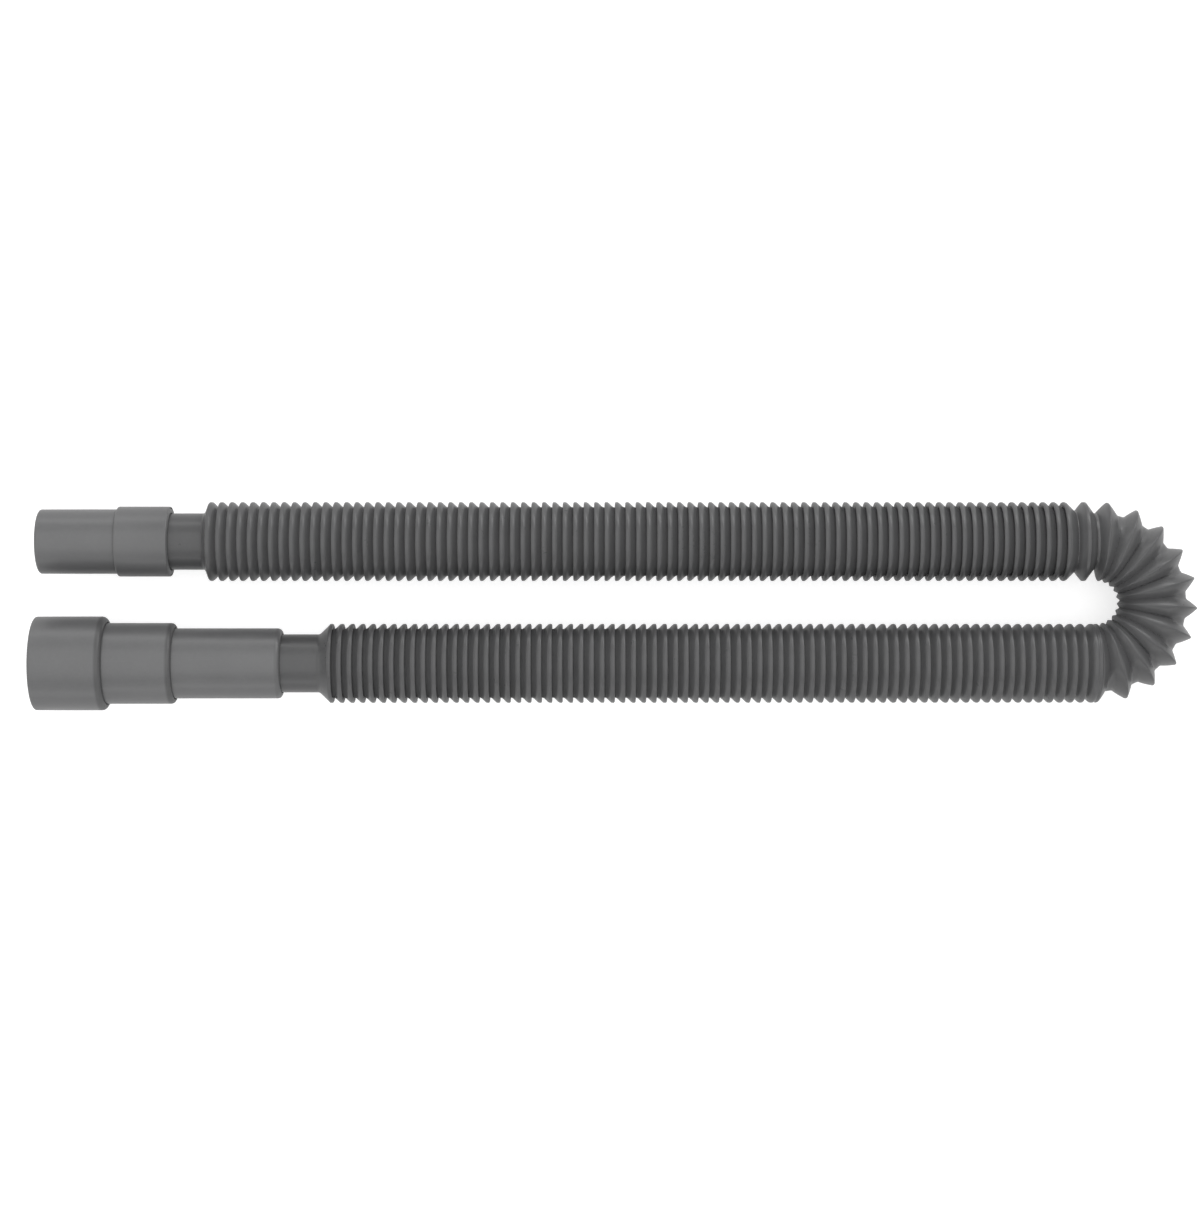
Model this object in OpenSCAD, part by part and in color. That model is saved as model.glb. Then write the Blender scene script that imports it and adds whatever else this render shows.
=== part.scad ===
// Extendable waste hose, folded once into a flat U, with stepped push-fit ends.
//
// The hose is one moulded bellows whose pleats either stay folded shut or
// stay pulled open.  Both straight runs are shut and the bend is open.  Each
// pleat has a long flank that faces the large end and a short one that faces
// the small end.  On a shut pleat the short flank leans back under its crest.
//
// +X points from the ends to the bend, +Y from the lower to the upper run and
// +Z up.  The origin is below the middle of the whole hose, on the ground.

/* [Hose] */
// Diameter over the crests of the pleats
crest_od = 49; // [40:0.5:60]
// Diameter at the bottom of the pleats
root_od = 35.2; // [29:0.2:39]
// Thickness of the pleated wall
hose_wall = 0.9; // [0.7:0.05:1.1]
// Crest to crest of the shut pleats
shut_pitch = 6.435; // [5.3:0.005:7.8]
// How far a shut pleat's short flank leans back under its crest
lean = 3; // [2.4:0.1:3.6]
// Depth of the groove that shows between two shut crests
groove_depth = 3.3; // [2.6:0.1:4]
// How far a shut pleat's long flank is hollowed below a straight line
flank_hollow = 0.4; // [0:0.05:0.6]
// Length of an open pleat's long flank, from the middle of its root to its crest
open_long = 5.8; // [5:0.1:7]
// Width of an open pleat's crest
open_crest = 2; // [1.4:0.1:3]
// Length of an open pleat's short flank, from its crest to the middle of its root
open_short = 4.8; // [4:0.1:6]
// Width of the flat bottom of an open pleat
open_root = 3.2; // [2:0.1:4]
// Number of shut pleats in the lower run
lower_pleats = 74; // [20:1:100]
// Number of shut pleats in the upper run
upper_pleats = 83; // [20:1:100]

/* [Bend] */
// Radius of the bend's centre line, half the distance between the runs
bend_radius = 37.7; // [31:0.1:60]
// Number of pleats in each section of the bend
section_pleats = 2; // [2:1:3]
// Angle from the last shut crest to the first root of the bend
first_flank = 7.5; // [6:0.5:10]
// Angle by which the last bent pleat runs on past the end of the arc
run_on = 2; // [0:0.5:4]
// Share of their depth that the folds lose where the bend squeezes them together
squeeze = 0.75; // [0:0.05:0.8]
// Share of a bent pleat that its long flank takes
long_share = 0.54; // [0.5:0.01:0.6]

/* [Large end] */
// Outside diameter of the hose's neck at the large end
large_neck_od = 36; // [30:0.2:44]
// Length of the cone from the neck to the first crest
flare_length = 9.3; // [6:0.1:14]
// Length of bare neck at the large end
large_neck_show = 22.3; // [15:0.1:40]
// Wall of the inner sleeve, round the neck
inner_wall = 3.62; // [3:0.02:5]
// Length of inner sleeve that shows
inner_show = 66; // [40:1:90]
// Wall of the middle sleeve, round the inner sleeve
middle_wall = 3.22; // [2.6:0.02:5]
// Length of middle sleeve that shows
middle_show = 42; // [30:1:70]
// Wall of the outer socket, round the pipe in its mouth
socket_wall = 3.6; // [3:0.1:5]
// Length of the outer socket
socket_length = 44.7; // [44:0.1:70]

/* [Small end] */
// Outside diameter of the hose's neck at the small end
small_neck_od = 35; // [29:0.2:42]
// Length of bare neck at the small end
small_neck_show = 20; // [12:1:40]
// Wall of the spigot, round the neck
spigot_wall = 2.42; // [2:0.02:4]
// Length of spigot that shows beyond its collar
spigot_show = 48.7; // [35:0.1:80]
// Wall of the collar, round the spigot
collar_wall = 1.25; // [1:0.05:3]
// Length of the collar
collar_length = 33; // [28:1:45]

/* [Fits] */
// Radial gap between two pieces that slide or turn on each other
push_fit = 0.08; // [0.05:0.01:0.1]
// Radial gap round the waste pipe in the socket's mouth
pipe_fit = 0.4; // [0.3:0.05:0.5]
// Radial gap at a seal that slides or turns on its mate
seal_fit = 0.04; // [0.02:0.01:0.08]
// Radial gap behind a seal or a collar that stays on its piece
seat_gap = 0.05; // [0.03:0.01:0.1]
// Height of the spigot's raised seat under the collar
seat_rise = 0.4; // [0.3:0.05:0.6]
// End gap between a piece and the stop that it is pushed towards
stop_gap = 0.3; // [0.2:0.05:0.5]
// How far the hose's large neck is pushed into the inner sleeve
neck_insert = 35; // [25:1:45]
// How far the inner sleeve is pushed into the middle sleeve
inner_insert = 30; // [20:1:38]
// How far the middle sleeve is pushed into the outer socket
middle_insert = 18; // [15:0.5:18]
// Width of the stop rib inside the outer socket
stop_rib = 2.6; // [2:0.1:4]
// Height of the bead that keeps a coupling on its neck
bead = 0.6; // [0.4:0.05:0.7]
// Width of that bead
bead_width = 2; // [1.5:0.1:3]
// Thickness of the hose's smooth necks
neck_wall = 1.2; // [1:0.1:1.5]
// Depth of the ring seals' grooves
ring_depth = 1.4; // [1.2:0.1:1.4]
// Width of the ring seals
ring_width = 3; // [2:0.1:4]
// Depth of the lip seal's groove in the mouth of the outer socket
lip_depth = 1.9; // [1.4:0.1:2]
// Width of the lip seal
lip_width = 5; // [4:0.1:6]
// Round on the sleeves' outer edges
edge = 1.6; // [0.6:0.1:2]

/* [Hidden] */
$fn = 64;

hose_grey = [0.27, 0.27, 0.28];
fitting_grey = [0.4, 0.4, 0.41];
seal_black = [0.08, 0.08, 0.08];

// Radii of the hose
crest_r = crest_od / 2;
root_r = root_od / 2;
crest_land = 1.9;
lip = 0.35;
crest_drop = 0.15;

// Lower run: h grows from the large neck towards the bend
crest_end = 2.4;
lower_first = flare_length;
lower_length = flare_length + (lower_pleats - 1) * shut_pitch + crest_end;

// Upper run: h grows from the bend towards the small neck
upper_start = bend_radius * run_on * PI / 180;
open_from = upper_start + open_long;
open_to = open_from + open_crest;
upper_root = open_to + open_short;
upper_first = upper_root + open_long + crest_land;
shoulder = 3.6;
upper_length = upper_first + (upper_pleats - 1) * shut_pitch + shoulder;

// Large end: distances from the bend's plane along the lower run's axis
inner_start = lower_length + large_neck_show;
neck_end = inner_start + neck_insert;
middle_start = inner_start + inner_show;
inner_end = middle_start + inner_insert;
socket_start = middle_start + middle_show;
middle_end = socket_start + middle_insert;
rim = socket_start + socket_length;

// Small end: distances from the bend's plane along the upper run's axis
spigot_start = upper_length + small_neck_show;
collar_end = spigot_start + collar_length;
small_neck_end = collar_end - 2;
spigot_end = collar_end + spigot_show;

// Radii of the fittings, each built out from the piece inside it
large_neck_r = large_neck_od / 2;
inner_r = large_neck_r + push_fit + inner_wall;
middle_r = inner_r + push_fit + middle_wall;
mouth_r = middle_r + pipe_fit;
socket_r = mouth_r + socket_wall;
small_neck_r = small_neck_od / 2;
spigot_r = small_neck_r + push_fit + spigot_wall;
collar_bore = spigot_r + seat_rise + seat_gap;
collar_r = collar_bore + collar_wall;
collar_edge = min(edge, 0.9 * collar_wall);
flange = 0.8;
flange_width = 2;
lead_in = 1.5;

// The socket and the hose both lie on the ground, which tilts the lower run
tilt = asin((socket_r - crest_r) / socket_start);

// Bend: angles are taken about its centre, from -90 at the lower run
sections = 5;
bend_pleat = (180 + run_on - first_flank) / (sections * section_pleats);
first_root = first_flank - 90;
straight_from = first_root + bend_pleat * (sections * section_pleats - 1 + long_share);
root_half = open_root / 2 / bend_radius * 180 / PI;
root_half_inside = (open_root + hose_wall) / 2 / bend_radius * 180 / PI;
crest_half = 0.6;
sides = 32;

// The whole hose is centred on the origin
reach = max([
    for (k = [0 : sections * section_pleats - 1])
        (bend_radius + crest_r) * cos(first_root + bend_pleat * (k + long_share))
]);
bend_x = (rim * cos(tilt) + socket_r * sin(tilt) - reach) / 2;
bend_y = (max(socket_r, crest_r) - crest_r) / 2;

// ---- Shared shapes -------------------------------------------------------

// A quarter round from start to end angle, as points [radius, height]
function round_edge(r, h, from, to, size = edge) =
    [for (i = [0 : 3]) let (a = from + (to - from) * i / 3)
        [r + size * cos(a), h + size * sin(a)]];

// Turns an outline of [along, radius] points into [radius, height] points
function stand(points) = [for (p = points) [p[1], p[0]]];

// The same, but measured back from the far end
function stand_back(points, far) = [for (p = points) [p[1], far - p[0]]];

function reversed(points) = [for (i = [len(points) - 1 : -1 : 0]) points[i]];

// Places a piece that stands on +Z along one of the two runs
module on_lower_run() {
    translate([bend_x, bend_y - bend_radius, crest_r])
        rotate([0, tilt - 90, 0])
            children();
}

module on_upper_run() {
    translate([bend_x, bend_y + bend_radius, crest_r])
        rotate([0, -90, 0])
            children();
}

// A closed ring between two radii and two heights
module ring(inside, outside, from, to) {
    rotate_extrude()
        translate([inside, from])
            square([outside - inside, to - from]);
}

// ---- Pleats --------------------------------------------------------------

// The middle of a shut pleat's hollowed flank, depth below the straight line
function flank_middle(crest, depth) =
    [crest - (shut_pitch + crest_land) / 2, crest_r - (groove_depth + crest_drop) / 2 - depth];

// Outside of the shut pleats, from the first crest to the last crest's lip.
// h grows towards the small end, so each long flank comes before its crest.
function shut_outside(first, count) = [
    for (k = [0 : count - 1])
        let (crest = first + k * shut_pitch, before = crest - shut_pitch)
        each concat(
            k == 0 ? [] : [
                [before - lean, root_r],
                [before, crest_r - groove_depth],
                flank_middle(crest, flank_hollow)
            ],
            [
                [crest - crest_land, crest_r - crest_drop],
                [crest - lip, crest_r],
                [crest, crest_r - lip]
            ]
        )
];

// Inside of the same pleats, one wall further in
function shut_inside(first, count) = [
    for (k = [0 : count - 1])
        let (crest = first + k * shut_pitch, before = crest - shut_pitch)
        each concat(
            k == 0 ? [] : [
                [before - lean - 0.8 * hose_wall, root_r - 0.55 * hose_wall],
                [before - lean + 0.65 * hose_wall, root_r - 0.9 * hose_wall],
                [before + 0.55 * hose_wall, crest_r - groove_depth - hose_wall],
                flank_middle(crest, flank_hollow + 1.1 * hose_wall)
            ],
            [[crest - crest_land, crest_r - 1.3 * hose_wall]]
        )
];

// ---- The bend ------------------------------------------------------------

// A ring of points round the bend's centre line.  The first section's rings
// lean with the lower run and straighten towards the section's far end.  Past
// the end of the arc the rings go straight on.  The folds, which go down from
// top, are shallow on the inside of the bend, except in the last, straight one.
function bend_ring(angle, r, top) =
    let (
        squeezed = angle > straight_from ? 0 : squeeze,
        lean_share = max(0, 1 - (angle + 90) / (first_flank + section_pleats * bend_pleat)),
        lean_angle = tilt * lean_share,
        arc = min(angle, 90),
        past = (angle - arc) * bend_radius * PI / 180,
        outward = [cos(arc), sin(arc), 0],
        forward = [-sin(arc), cos(arc), 0],
        upward = [0, 0, cos(lean_angle)] + forward * sin(lean_angle)
    )
    [for (i = [0 : sides - 1])
        let (a = 360 * i / sides, depth = (top - r) * (1 - squeezed * (1 - cos(a)) / 2))
        [bend_x, bend_y, crest_r] + bend_radius * outward + past * forward
            + (top - depth) * (cos(a) * outward + sin(a) * upward)];

// Outline of section n: [angle, radius] along the outside, then the inside
function section_root(n) = first_root + (n - 1) * section_pleats * bend_pleat;

function section_outside(n) = concat(
    n == 1 ? [[-90, crest_r], [first_root - root_half, root_r]] : [[section_root(n), root_r]],
    [for (k = [0 : section_pleats - 1])
        let (root = section_root(n) + k * bend_pleat, crest = root + long_share * bend_pleat)
        each [
            [root + root_half, root_r],
            [crest - crest_half, crest_r],
            [crest + crest_half, crest_r],
            [root + bend_pleat - root_half, root_r]
        ]],
    [[section_root(n + 1), root_r]]
);

function section_inside(n) =
    let (inside_r = root_r - hose_wall)
    concat(
        n == 1
            ? [[-90, crest_r - hose_wall], [first_root - root_half_inside, inside_r]]
            : [[section_root(n), inside_r]],
        [for (k = [0 : section_pleats - 1])
            let (root = section_root(n) + k * bend_pleat, crest = root + long_share * bend_pleat)
            each [
                [root + root_half_inside, inside_r],
                [crest, crest_r - 1.3 * hose_wall],
                [root + bend_pleat - root_half_inside, inside_r]
            ]],
        [[section_root(n + 1), inside_r]]
    );

// One section of the bend: its rings run out along the outside and back
// along the inside, so that the wall closes at both ends
module bend_section(n) {
    outside = section_outside(n);
    inside = reversed(section_inside(n));
    count = len(outside) + len(inside);
    points = [
        for (p = outside) each bend_ring(p[0], p[1], crest_r),
        for (p = inside) each bend_ring(p[0], p[1], crest_r - 1.3 * hose_wall)
    ];
    faces = [
        for (j = [0 : count - 1]) for (i = [0 : sides - 1])
            let (
                a = j * sides + i,
                b = j * sides + (i + 1) % sides,
                c = ((j + 1) % count) * sides + (i + 1) % sides,
                d = ((j + 1) % count) * sides + i
            )
            each [[a, b, c], [a, c, d]]
    ];
    color(hose_grey) polyhedron(points, faces, convexity = 8);
}

// ---- Hose ----------------------------------------------------------------

module lower_run() {
    outside = shut_outside(lower_first, lower_pleats);
    wall_line = concat(
        [[0, large_neck_r]],
        [for (i = [0 : len(outside) - 2]) outside[i]],
        [[lower_length, crest_r], [lower_length, crest_r - hose_wall]],
        reversed(shut_inside(lower_first, lower_pleats)),
        [[0, large_neck_r - neck_wall]]
    );
    color(hose_grey)
        on_lower_run()
            rotate_extrude(convexity = 10)
                polygon(stand_back(wall_line, lower_length));
}

module upper_run() {
    inside_r = root_r - hose_wall;
    reach_in = (open_root + hose_wall) / 2;
    wall_line = concat(
        [
            [upper_start, root_r],
            [upper_start + open_root / 2, root_r],
            [open_from, crest_r - lip],
            [open_from + lip, crest_r],
            [open_to - lip, crest_r],
            [open_to, crest_r - lip],
            [upper_root - open_root / 2, root_r],
            [upper_root, root_r]
        ],
        shut_outside(upper_first, upper_pleats),
        [[upper_length, small_neck_r], [upper_length, small_neck_r - neck_wall]],
        reversed(shut_inside(upper_first, upper_pleats)),
        [
            [upper_root + hose_wall / 2, inside_r],
            [upper_root - reach_in, inside_r],
            [open_to - hose_wall / 2, crest_r - hose_wall],
            [open_from + hose_wall / 2, crest_r - hose_wall],
            [upper_start + reach_in, inside_r],
            [upper_start, inside_r]
        ]
    );
    color(hose_grey)
        on_upper_run()
            rotate_extrude(convexity = 10)
                polygon(stand(wall_line));
}

module bend_1() bend_section(1);
module bend_2() bend_section(2);
module bend_3() bend_section(3);
module bend_4() bend_section(4);
module bend_5() bend_section(5);

// A smooth neck with the bead that a coupling snaps over
module neck(r, from, to) {
    bead_from = to - 3 * bead_width;
    color(hose_grey)
        rotate_extrude()
            polygon([
                [r - neck_wall, from],
                [r, from],
                [r, bead_from],
                [r + bead, bead_from + bead_width / 2],
                [r + bead, bead_from + bead_width],
                [r, bead_from + 2 * bead_width],
                [r, to - neck_wall / 2],
                [r - neck_wall / 2, to],
                [r - neck_wall, to]
            ]);
}

module large_cuff() on_lower_run() neck(large_neck_r, lower_length, neck_end);

module small_cuff() on_upper_run() neck(small_neck_r, upper_length, small_neck_end);

// ---- Fittings ------------------------------------------------------------

// The hollow that a neck snaps into, with its bead's groove and a seal's
// groove, as the right-hand side of a sleeve's outline from start to stop
function neck_socket(r, from, to) =
    let (bore = r + push_fit, bead_from = to - 3 * bead_width)
    [
        [bore + lead_in / 2, from],
        [bore, from + lead_in],
        [bore, seal_place(from)],
        [r + ring_depth, seal_place(from)],
        [r + ring_depth, seal_place(from) + ring_width],
        [bore, seal_place(from) + ring_width],
        [bore, bead_from],
        [bore + bead, bead_from + bead_width / 2],
        [bore + bead, bead_from + bead_width],
        [bore, bead_from + 2 * bead_width],
        [bore, to + stop_gap]
    ];

function seal_place(from) = from + 3 * lead_in;

// A ring seal on the outside of a male piece, or in the bore of a female one
module outside_seal(r, from)
    color(seal_black)
        ring(r - ring_depth + seat_gap, r + push_fit - seal_fit, from, from + ring_width);

module inside_seal(r, from)
    color(seal_black)
        ring(r + seal_fit, r + ring_depth - seat_gap, from, from + ring_width);

// Grooves for outside seals, half way along the part that is pushed in
inner_groove = middle_start + inner_insert / 2;
middle_groove = socket_start + middle_insert / 2 - ring_width / 2;
lip_place = rim - 3 * lead_in - lip_width;

module outer_socket() {
    bore = middle_r + push_fit;
    stop = middle_end + stop_gap;
    groove = mouth_r + lip_depth;
    color(fitting_grey)
        on_lower_run()
            rotate_extrude()
                polygon(concat(
                    [[bore + lead_in / 2, socket_start]],
                    round_edge(socket_r - edge, socket_start + edge, -90, 0),
                    round_edge(socket_r - edge, rim - edge, 0, 90),
                    [
                        [mouth_r + lead_in, rim],
                        [mouth_r, rim - lead_in],
                        [mouth_r, lip_place + lip_width],
                        [groove, lip_place + lip_width],
                        [groove, lip_place],
                        [mouth_r, lip_place],
                        [mouth_r, stop + stop_rib],
                        [inner_r + push_fit, stop + stop_rib],
                        [inner_r + push_fit, stop],
                        [bore, stop],
                        [bore, socket_start + lead_in]
                    ]
                ));
}

module socket_lip_seal() {
    outside = mouth_r + lip_depth - seat_gap;
    slit = lip_width / 5;
    color(seal_black)
        on_lower_run()
            rotate_extrude()
                polygon([
                    [mouth_r, lip_place],
                    [mouth_r, lip_place + lip_width - slit],
                    [mouth_r + lip_depth * 0.3, lip_place + lip_width - slit],
                    [mouth_r + lip_depth * 0.55, lip_place + slit],
                    [mouth_r + lip_depth * 0.7, lip_place + slit],
                    [mouth_r + lip_depth * 0.7, lip_place + lip_width],
                    [outside, lip_place + lip_width],
                    [outside, lip_place]
                ]);
}

module middle_sleeve() {
    bore = inner_r + push_fit;
    stop = inner_end + stop_gap;
    throat = inner_r - stop_rib / 2;
    groove_r = middle_r - ring_depth;
    color(fitting_grey)
        on_lower_run()
            rotate_extrude()
                polygon(concat(
                    [[bore, middle_start + lead_in], [bore + lead_in / 2, middle_start]],
                    round_edge(middle_r - edge, middle_start + edge, -90, 0),
                    [
                        [middle_r, middle_groove],
                        [groove_r, middle_groove],
                        [groove_r, middle_groove + ring_width],
                        [middle_r, middle_groove + ring_width],
                        [middle_r, middle_end - lead_in],
                        [middle_r - lead_in / 2, middle_end],
                        [throat, middle_end],
                        [throat, stop],
                        [bore, stop]
                    ]
                ));
}

module outer_socket_seal() on_lower_run() outside_seal(middle_r, middle_groove);

module inner_sleeve() {
    throat = large_neck_r - neck_wall;
    groove_r = inner_r - ring_depth;
    hollow = neck_socket(large_neck_r, inner_start, neck_end);
    color(fitting_grey)
        on_lower_run()
            rotate_extrude()
                polygon(concat(
                    round_edge(inner_r - edge, inner_start + edge, -90, 0),
                    [
                        [inner_r, inner_groove],
                        [groove_r, inner_groove],
                        [groove_r, inner_groove + ring_width],
                        [inner_r, inner_groove + ring_width],
                        [inner_r, inner_end - lead_in],
                        [inner_r - lead_in / 2, inner_end],
                        [throat, inner_end],
                        [throat, neck_end + stop_gap]
                    ],
                    reversed(hollow)
                ));
}

module middle_sleeve_seal() on_lower_run() outside_seal(inner_r, inner_groove);

module inner_sleeve_seal() on_lower_run() inside_seal(large_neck_r, seal_place(inner_start));

module small_spigot() {
    throat = small_neck_r - neck_wall;
    hollow = neck_socket(small_neck_r, spigot_start, small_neck_end);
    color(fitting_grey)
        on_upper_run()
            rotate_extrude()
                polygon(concat(
                    [
                        [spigot_r + flange, spigot_start],
                        [spigot_r + flange, spigot_start + flange_width],
                        [spigot_r + seat_rise, spigot_start + flange_width],
                        [spigot_r + seat_rise, collar_end],
                        [spigot_r, collar_end]
                    ],
                    round_edge(spigot_r - edge, spigot_end - edge, 0, 90),
                    [[throat, spigot_end], [throat, small_neck_end + stop_gap]],
                    reversed(hollow)
                ));
}

module small_collar() {
    recess = spigot_r + flange + seat_gap;
    color(fitting_grey)
        on_upper_run()
            rotate_extrude()
                polygon(concat(
                    [[recess, spigot_start], [recess, spigot_start + flange_width]],
                    [[collar_bore, spigot_start + flange_width], [collar_bore, collar_end]],
                    round_edge(collar_r - collar_edge, collar_end - collar_edge, 90, 0, collar_edge),
                    round_edge(collar_r - edge / 4, spigot_start + edge / 4, 0, -90, edge / 4)
                ));
}

module small_seal() on_upper_run() inside_seal(small_neck_r, seal_place(spigot_start));

outer_socket();
socket_lip_seal();
middle_sleeve();
outer_socket_seal();
inner_sleeve();
middle_sleeve_seal();
inner_sleeve_seal();
large_cuff();
lower_run();
bend_1();
bend_2();
bend_3();
bend_4();
bend_5();
upper_run();
small_cuff();
small_spigot();
small_collar();
small_seal();
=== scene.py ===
"""Looks of a waste hose kit: a pleated hose folded into a U, with stepped couplings on its ends.

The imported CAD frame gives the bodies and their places. Every visible piece is a finer
mesh of the same size that stands for its CAD node, with a procedural finish of its own.
Sizes are in millimetres, and the meshes are written in metres.
"""

import logging
import math
from dataclasses import dataclass, replace
from enum import Enum
from typing import Optional, Sequence

import bpy
import numpy as np
from mathutils import Matrix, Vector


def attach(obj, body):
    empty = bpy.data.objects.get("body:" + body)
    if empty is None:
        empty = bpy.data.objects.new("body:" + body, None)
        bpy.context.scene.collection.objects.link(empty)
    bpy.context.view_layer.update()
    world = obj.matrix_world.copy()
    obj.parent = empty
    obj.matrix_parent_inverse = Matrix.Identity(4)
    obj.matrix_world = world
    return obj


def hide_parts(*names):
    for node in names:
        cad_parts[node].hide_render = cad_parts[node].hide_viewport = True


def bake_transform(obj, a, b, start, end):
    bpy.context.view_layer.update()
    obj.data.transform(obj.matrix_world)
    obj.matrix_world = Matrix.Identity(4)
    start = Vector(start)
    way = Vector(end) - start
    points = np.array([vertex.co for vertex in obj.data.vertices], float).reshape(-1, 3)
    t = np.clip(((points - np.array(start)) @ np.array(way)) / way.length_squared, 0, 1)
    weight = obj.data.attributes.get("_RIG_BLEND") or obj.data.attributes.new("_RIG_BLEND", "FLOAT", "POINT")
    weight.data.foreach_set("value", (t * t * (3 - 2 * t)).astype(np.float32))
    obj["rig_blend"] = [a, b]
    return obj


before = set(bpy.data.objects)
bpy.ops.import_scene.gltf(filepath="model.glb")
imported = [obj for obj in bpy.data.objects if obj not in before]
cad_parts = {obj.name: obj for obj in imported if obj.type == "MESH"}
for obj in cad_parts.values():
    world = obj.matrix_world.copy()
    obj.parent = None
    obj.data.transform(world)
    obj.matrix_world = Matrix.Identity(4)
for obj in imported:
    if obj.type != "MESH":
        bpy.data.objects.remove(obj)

logging.basicConfig(level=logging.INFO, format="%(name)s: %(message)s")
LOG = logging.getLogger("hose_kit")

MM = 0.001
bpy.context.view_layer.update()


class Body(Enum):
    """The CAD bodies that pieces ride on."""

    LOWER_HOSE = "lower_hose"
    LARGE_NECK = "large_neck"
    INNER_COUPLING = "inner_coupling"
    MIDDLE_COUPLING = "middle_coupling"
    OUTER_COUPLING = "outer_coupling"
    BEND_A = "bend_a"
    BEND_B = "bend_b"
    BEND_C = "bend_c"
    BEND_D = "bend_d"
    UPPER_HOSE = "upper_hose"
    SMALL_NECK = "small_neck"
    SMALL_COUPLING = "small_coupling"


class Slot(Enum):
    """The record's material slots."""

    HOSE = "hose"
    FITTING = "fitting"
    SEAL = "seal"


BEND_CHAIN = (Body.LOWER_HOSE, Body.BEND_A, Body.BEND_B, Body.BEND_C, Body.BEND_D, Body.UPPER_HOSE)


# ---- Sizes -----------------------------------------------------------------


@dataclass(frozen=True)
class KitSizes:
    # The hose's pleats, shut and open
    crest_r: float = 24.5
    root_r: float = 17.6
    hose_wall: float = 0.9
    shut_pitch: float = 6.435
    lean: float = 3.0
    groove_depth: float = 3.3
    crest_land: float = 1.9
    crest_end: float = 2.4
    open_long: float = 5.8
    open_crest: float = 2.0
    open_short: float = 4.8
    open_root: float = 3.2
    lower_pleats: int = 74
    upper_pleats: int = 83

    # The bend, with its angles in degrees
    bend_radius: float = 37.7
    sections: int = 5
    section_pleats: int = 2
    first_flank: float = 7.5
    run_on: float = 2.0
    long_share: float = 0.54
    crest_half: float = 0.6

    # The necks and how they come out of the pleats
    flare_length: float = 9.3
    shoulder: float = 3.6
    large_neck_r: float = 18.0
    large_neck_show: float = 22.3
    small_neck_r: float = 17.5
    small_neck_show: float = 20.0
    neck_wall: float = 1.2
    neck_insert: float = 35.0
    neck_short: float = 2.0
    bead: float = 0.6
    bead_width: float = 2.0

    # The large coupling's three sleeves
    inner_wall: float = 3.62
    inner_show: float = 66.0
    inner_insert: float = 30.0
    middle_wall: float = 3.22
    middle_show: float = 42.0
    middle_insert: float = 18.0
    socket_wall: float = 3.6
    socket_length: float = 44.7
    stop_rib: float = 2.6

    # The small coupling
    spigot_wall: float = 2.42
    spigot_show: float = 48.7
    collar_wall: float = 1.25
    collar_length: float = 33.0
    flange: float = 0.8
    flange_width: float = 2.0
    seat_rise: float = 0.4

    # Seals, clearances and edges
    ring_depth: float = 1.4
    ring_width: float = 3.0
    lip_depth: float = 1.9
    lip_width: float = 5.0
    push_fit: float = 0.08
    pipe_fit: float = 0.4
    seal_fit: float = 0.04
    seat_gap: float = 0.05
    stop_gap: float = 0.3
    gap: float = 0.35
    edge: float = 1.6
    shoulder_round: float = 2.8
    lead_in: float = 1.5

    @property
    def lower_length(self) -> float:
        """The lower run's length, from the bend to its large neck."""
        return self.flare_length + (self.lower_pleats - 1) * self.shut_pitch + self.crest_end

    @property
    def upper_start(self) -> float:
        """Where the upper run begins, a little past the bend."""
        return self.bend_radius * math.radians(self.run_on)

    @property
    def upper_root(self) -> float:
        """The end of the upper run's straight open pleat."""
        return self.upper_start + self.open_long + self.open_crest + self.open_short

    @property
    def upper_first(self) -> float:
        """Where the upper run's first shut crest ends."""
        return self.upper_root + self.open_long + self.crest_land

    @property
    def upper_length(self) -> float:
        """Where the upper run ends and its small neck begins."""
        return self.upper_first + (self.upper_pleats - 1) * self.shut_pitch + self.shoulder

    @property
    def inner_start(self) -> float:
        """Where the inner sleeve begins on the large neck."""
        return self.lower_length + self.large_neck_show

    @property
    def neck_end(self) -> float:
        """The large neck's end, inside the inner sleeve."""
        return self.inner_start + self.neck_insert

    @property
    def middle_start(self) -> float:
        """Where the middle sleeve begins."""
        return self.inner_start + self.inner_show

    @property
    def inner_end(self) -> float:
        """The inner sleeve's end, inside the middle sleeve."""
        return self.middle_start + self.inner_insert

    @property
    def socket_start(self) -> float:
        """Where the outer socket begins."""
        return self.middle_start + self.middle_show

    @property
    def middle_end(self) -> float:
        """The middle sleeve's end, inside the outer socket."""
        return self.socket_start + self.middle_insert

    @property
    def rim(self) -> float:
        """The outer socket's mouth, the far end of the lower line."""
        return self.socket_start + self.socket_length

    @property
    def spigot_start(self) -> float:
        """Where the spigot begins on the small neck."""
        return self.upper_length + self.small_neck_show

    @property
    def collar_end(self) -> float:
        """Where the collar ends round the spigot."""
        return self.spigot_start + self.collar_length

    @property
    def small_neck_end(self) -> float:
        """The small neck's end, inside the spigot."""
        return self.collar_end - self.neck_short

    @property
    def spigot_end(self) -> float:
        """The spigot's end, the far end of the upper line."""
        return self.collar_end + self.spigot_show

    @property
    def inner_r(self) -> float:
        """The inner sleeve's outer radius."""
        return self.large_neck_r + self.push_fit + self.inner_wall

    @property
    def middle_r(self) -> float:
        """The middle sleeve's outer radius."""
        return self.inner_r + self.push_fit + self.middle_wall

    @property
    def mouth_r(self) -> float:
        """The bore that a pipe is pushed into."""
        return self.middle_r + self.pipe_fit

    @property
    def socket_r(self) -> float:
        """The outer socket's outer radius."""
        return self.mouth_r + self.socket_wall

    @property
    def spigot_r(self) -> float:
        """The spigot's outer radius."""
        return self.small_neck_r + self.push_fit + self.spigot_wall

    @property
    def collar_bore(self) -> float:
        """The collar's inner radius, over the raised seat."""
        return self.spigot_r + self.seat_rise + self.seat_gap

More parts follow.
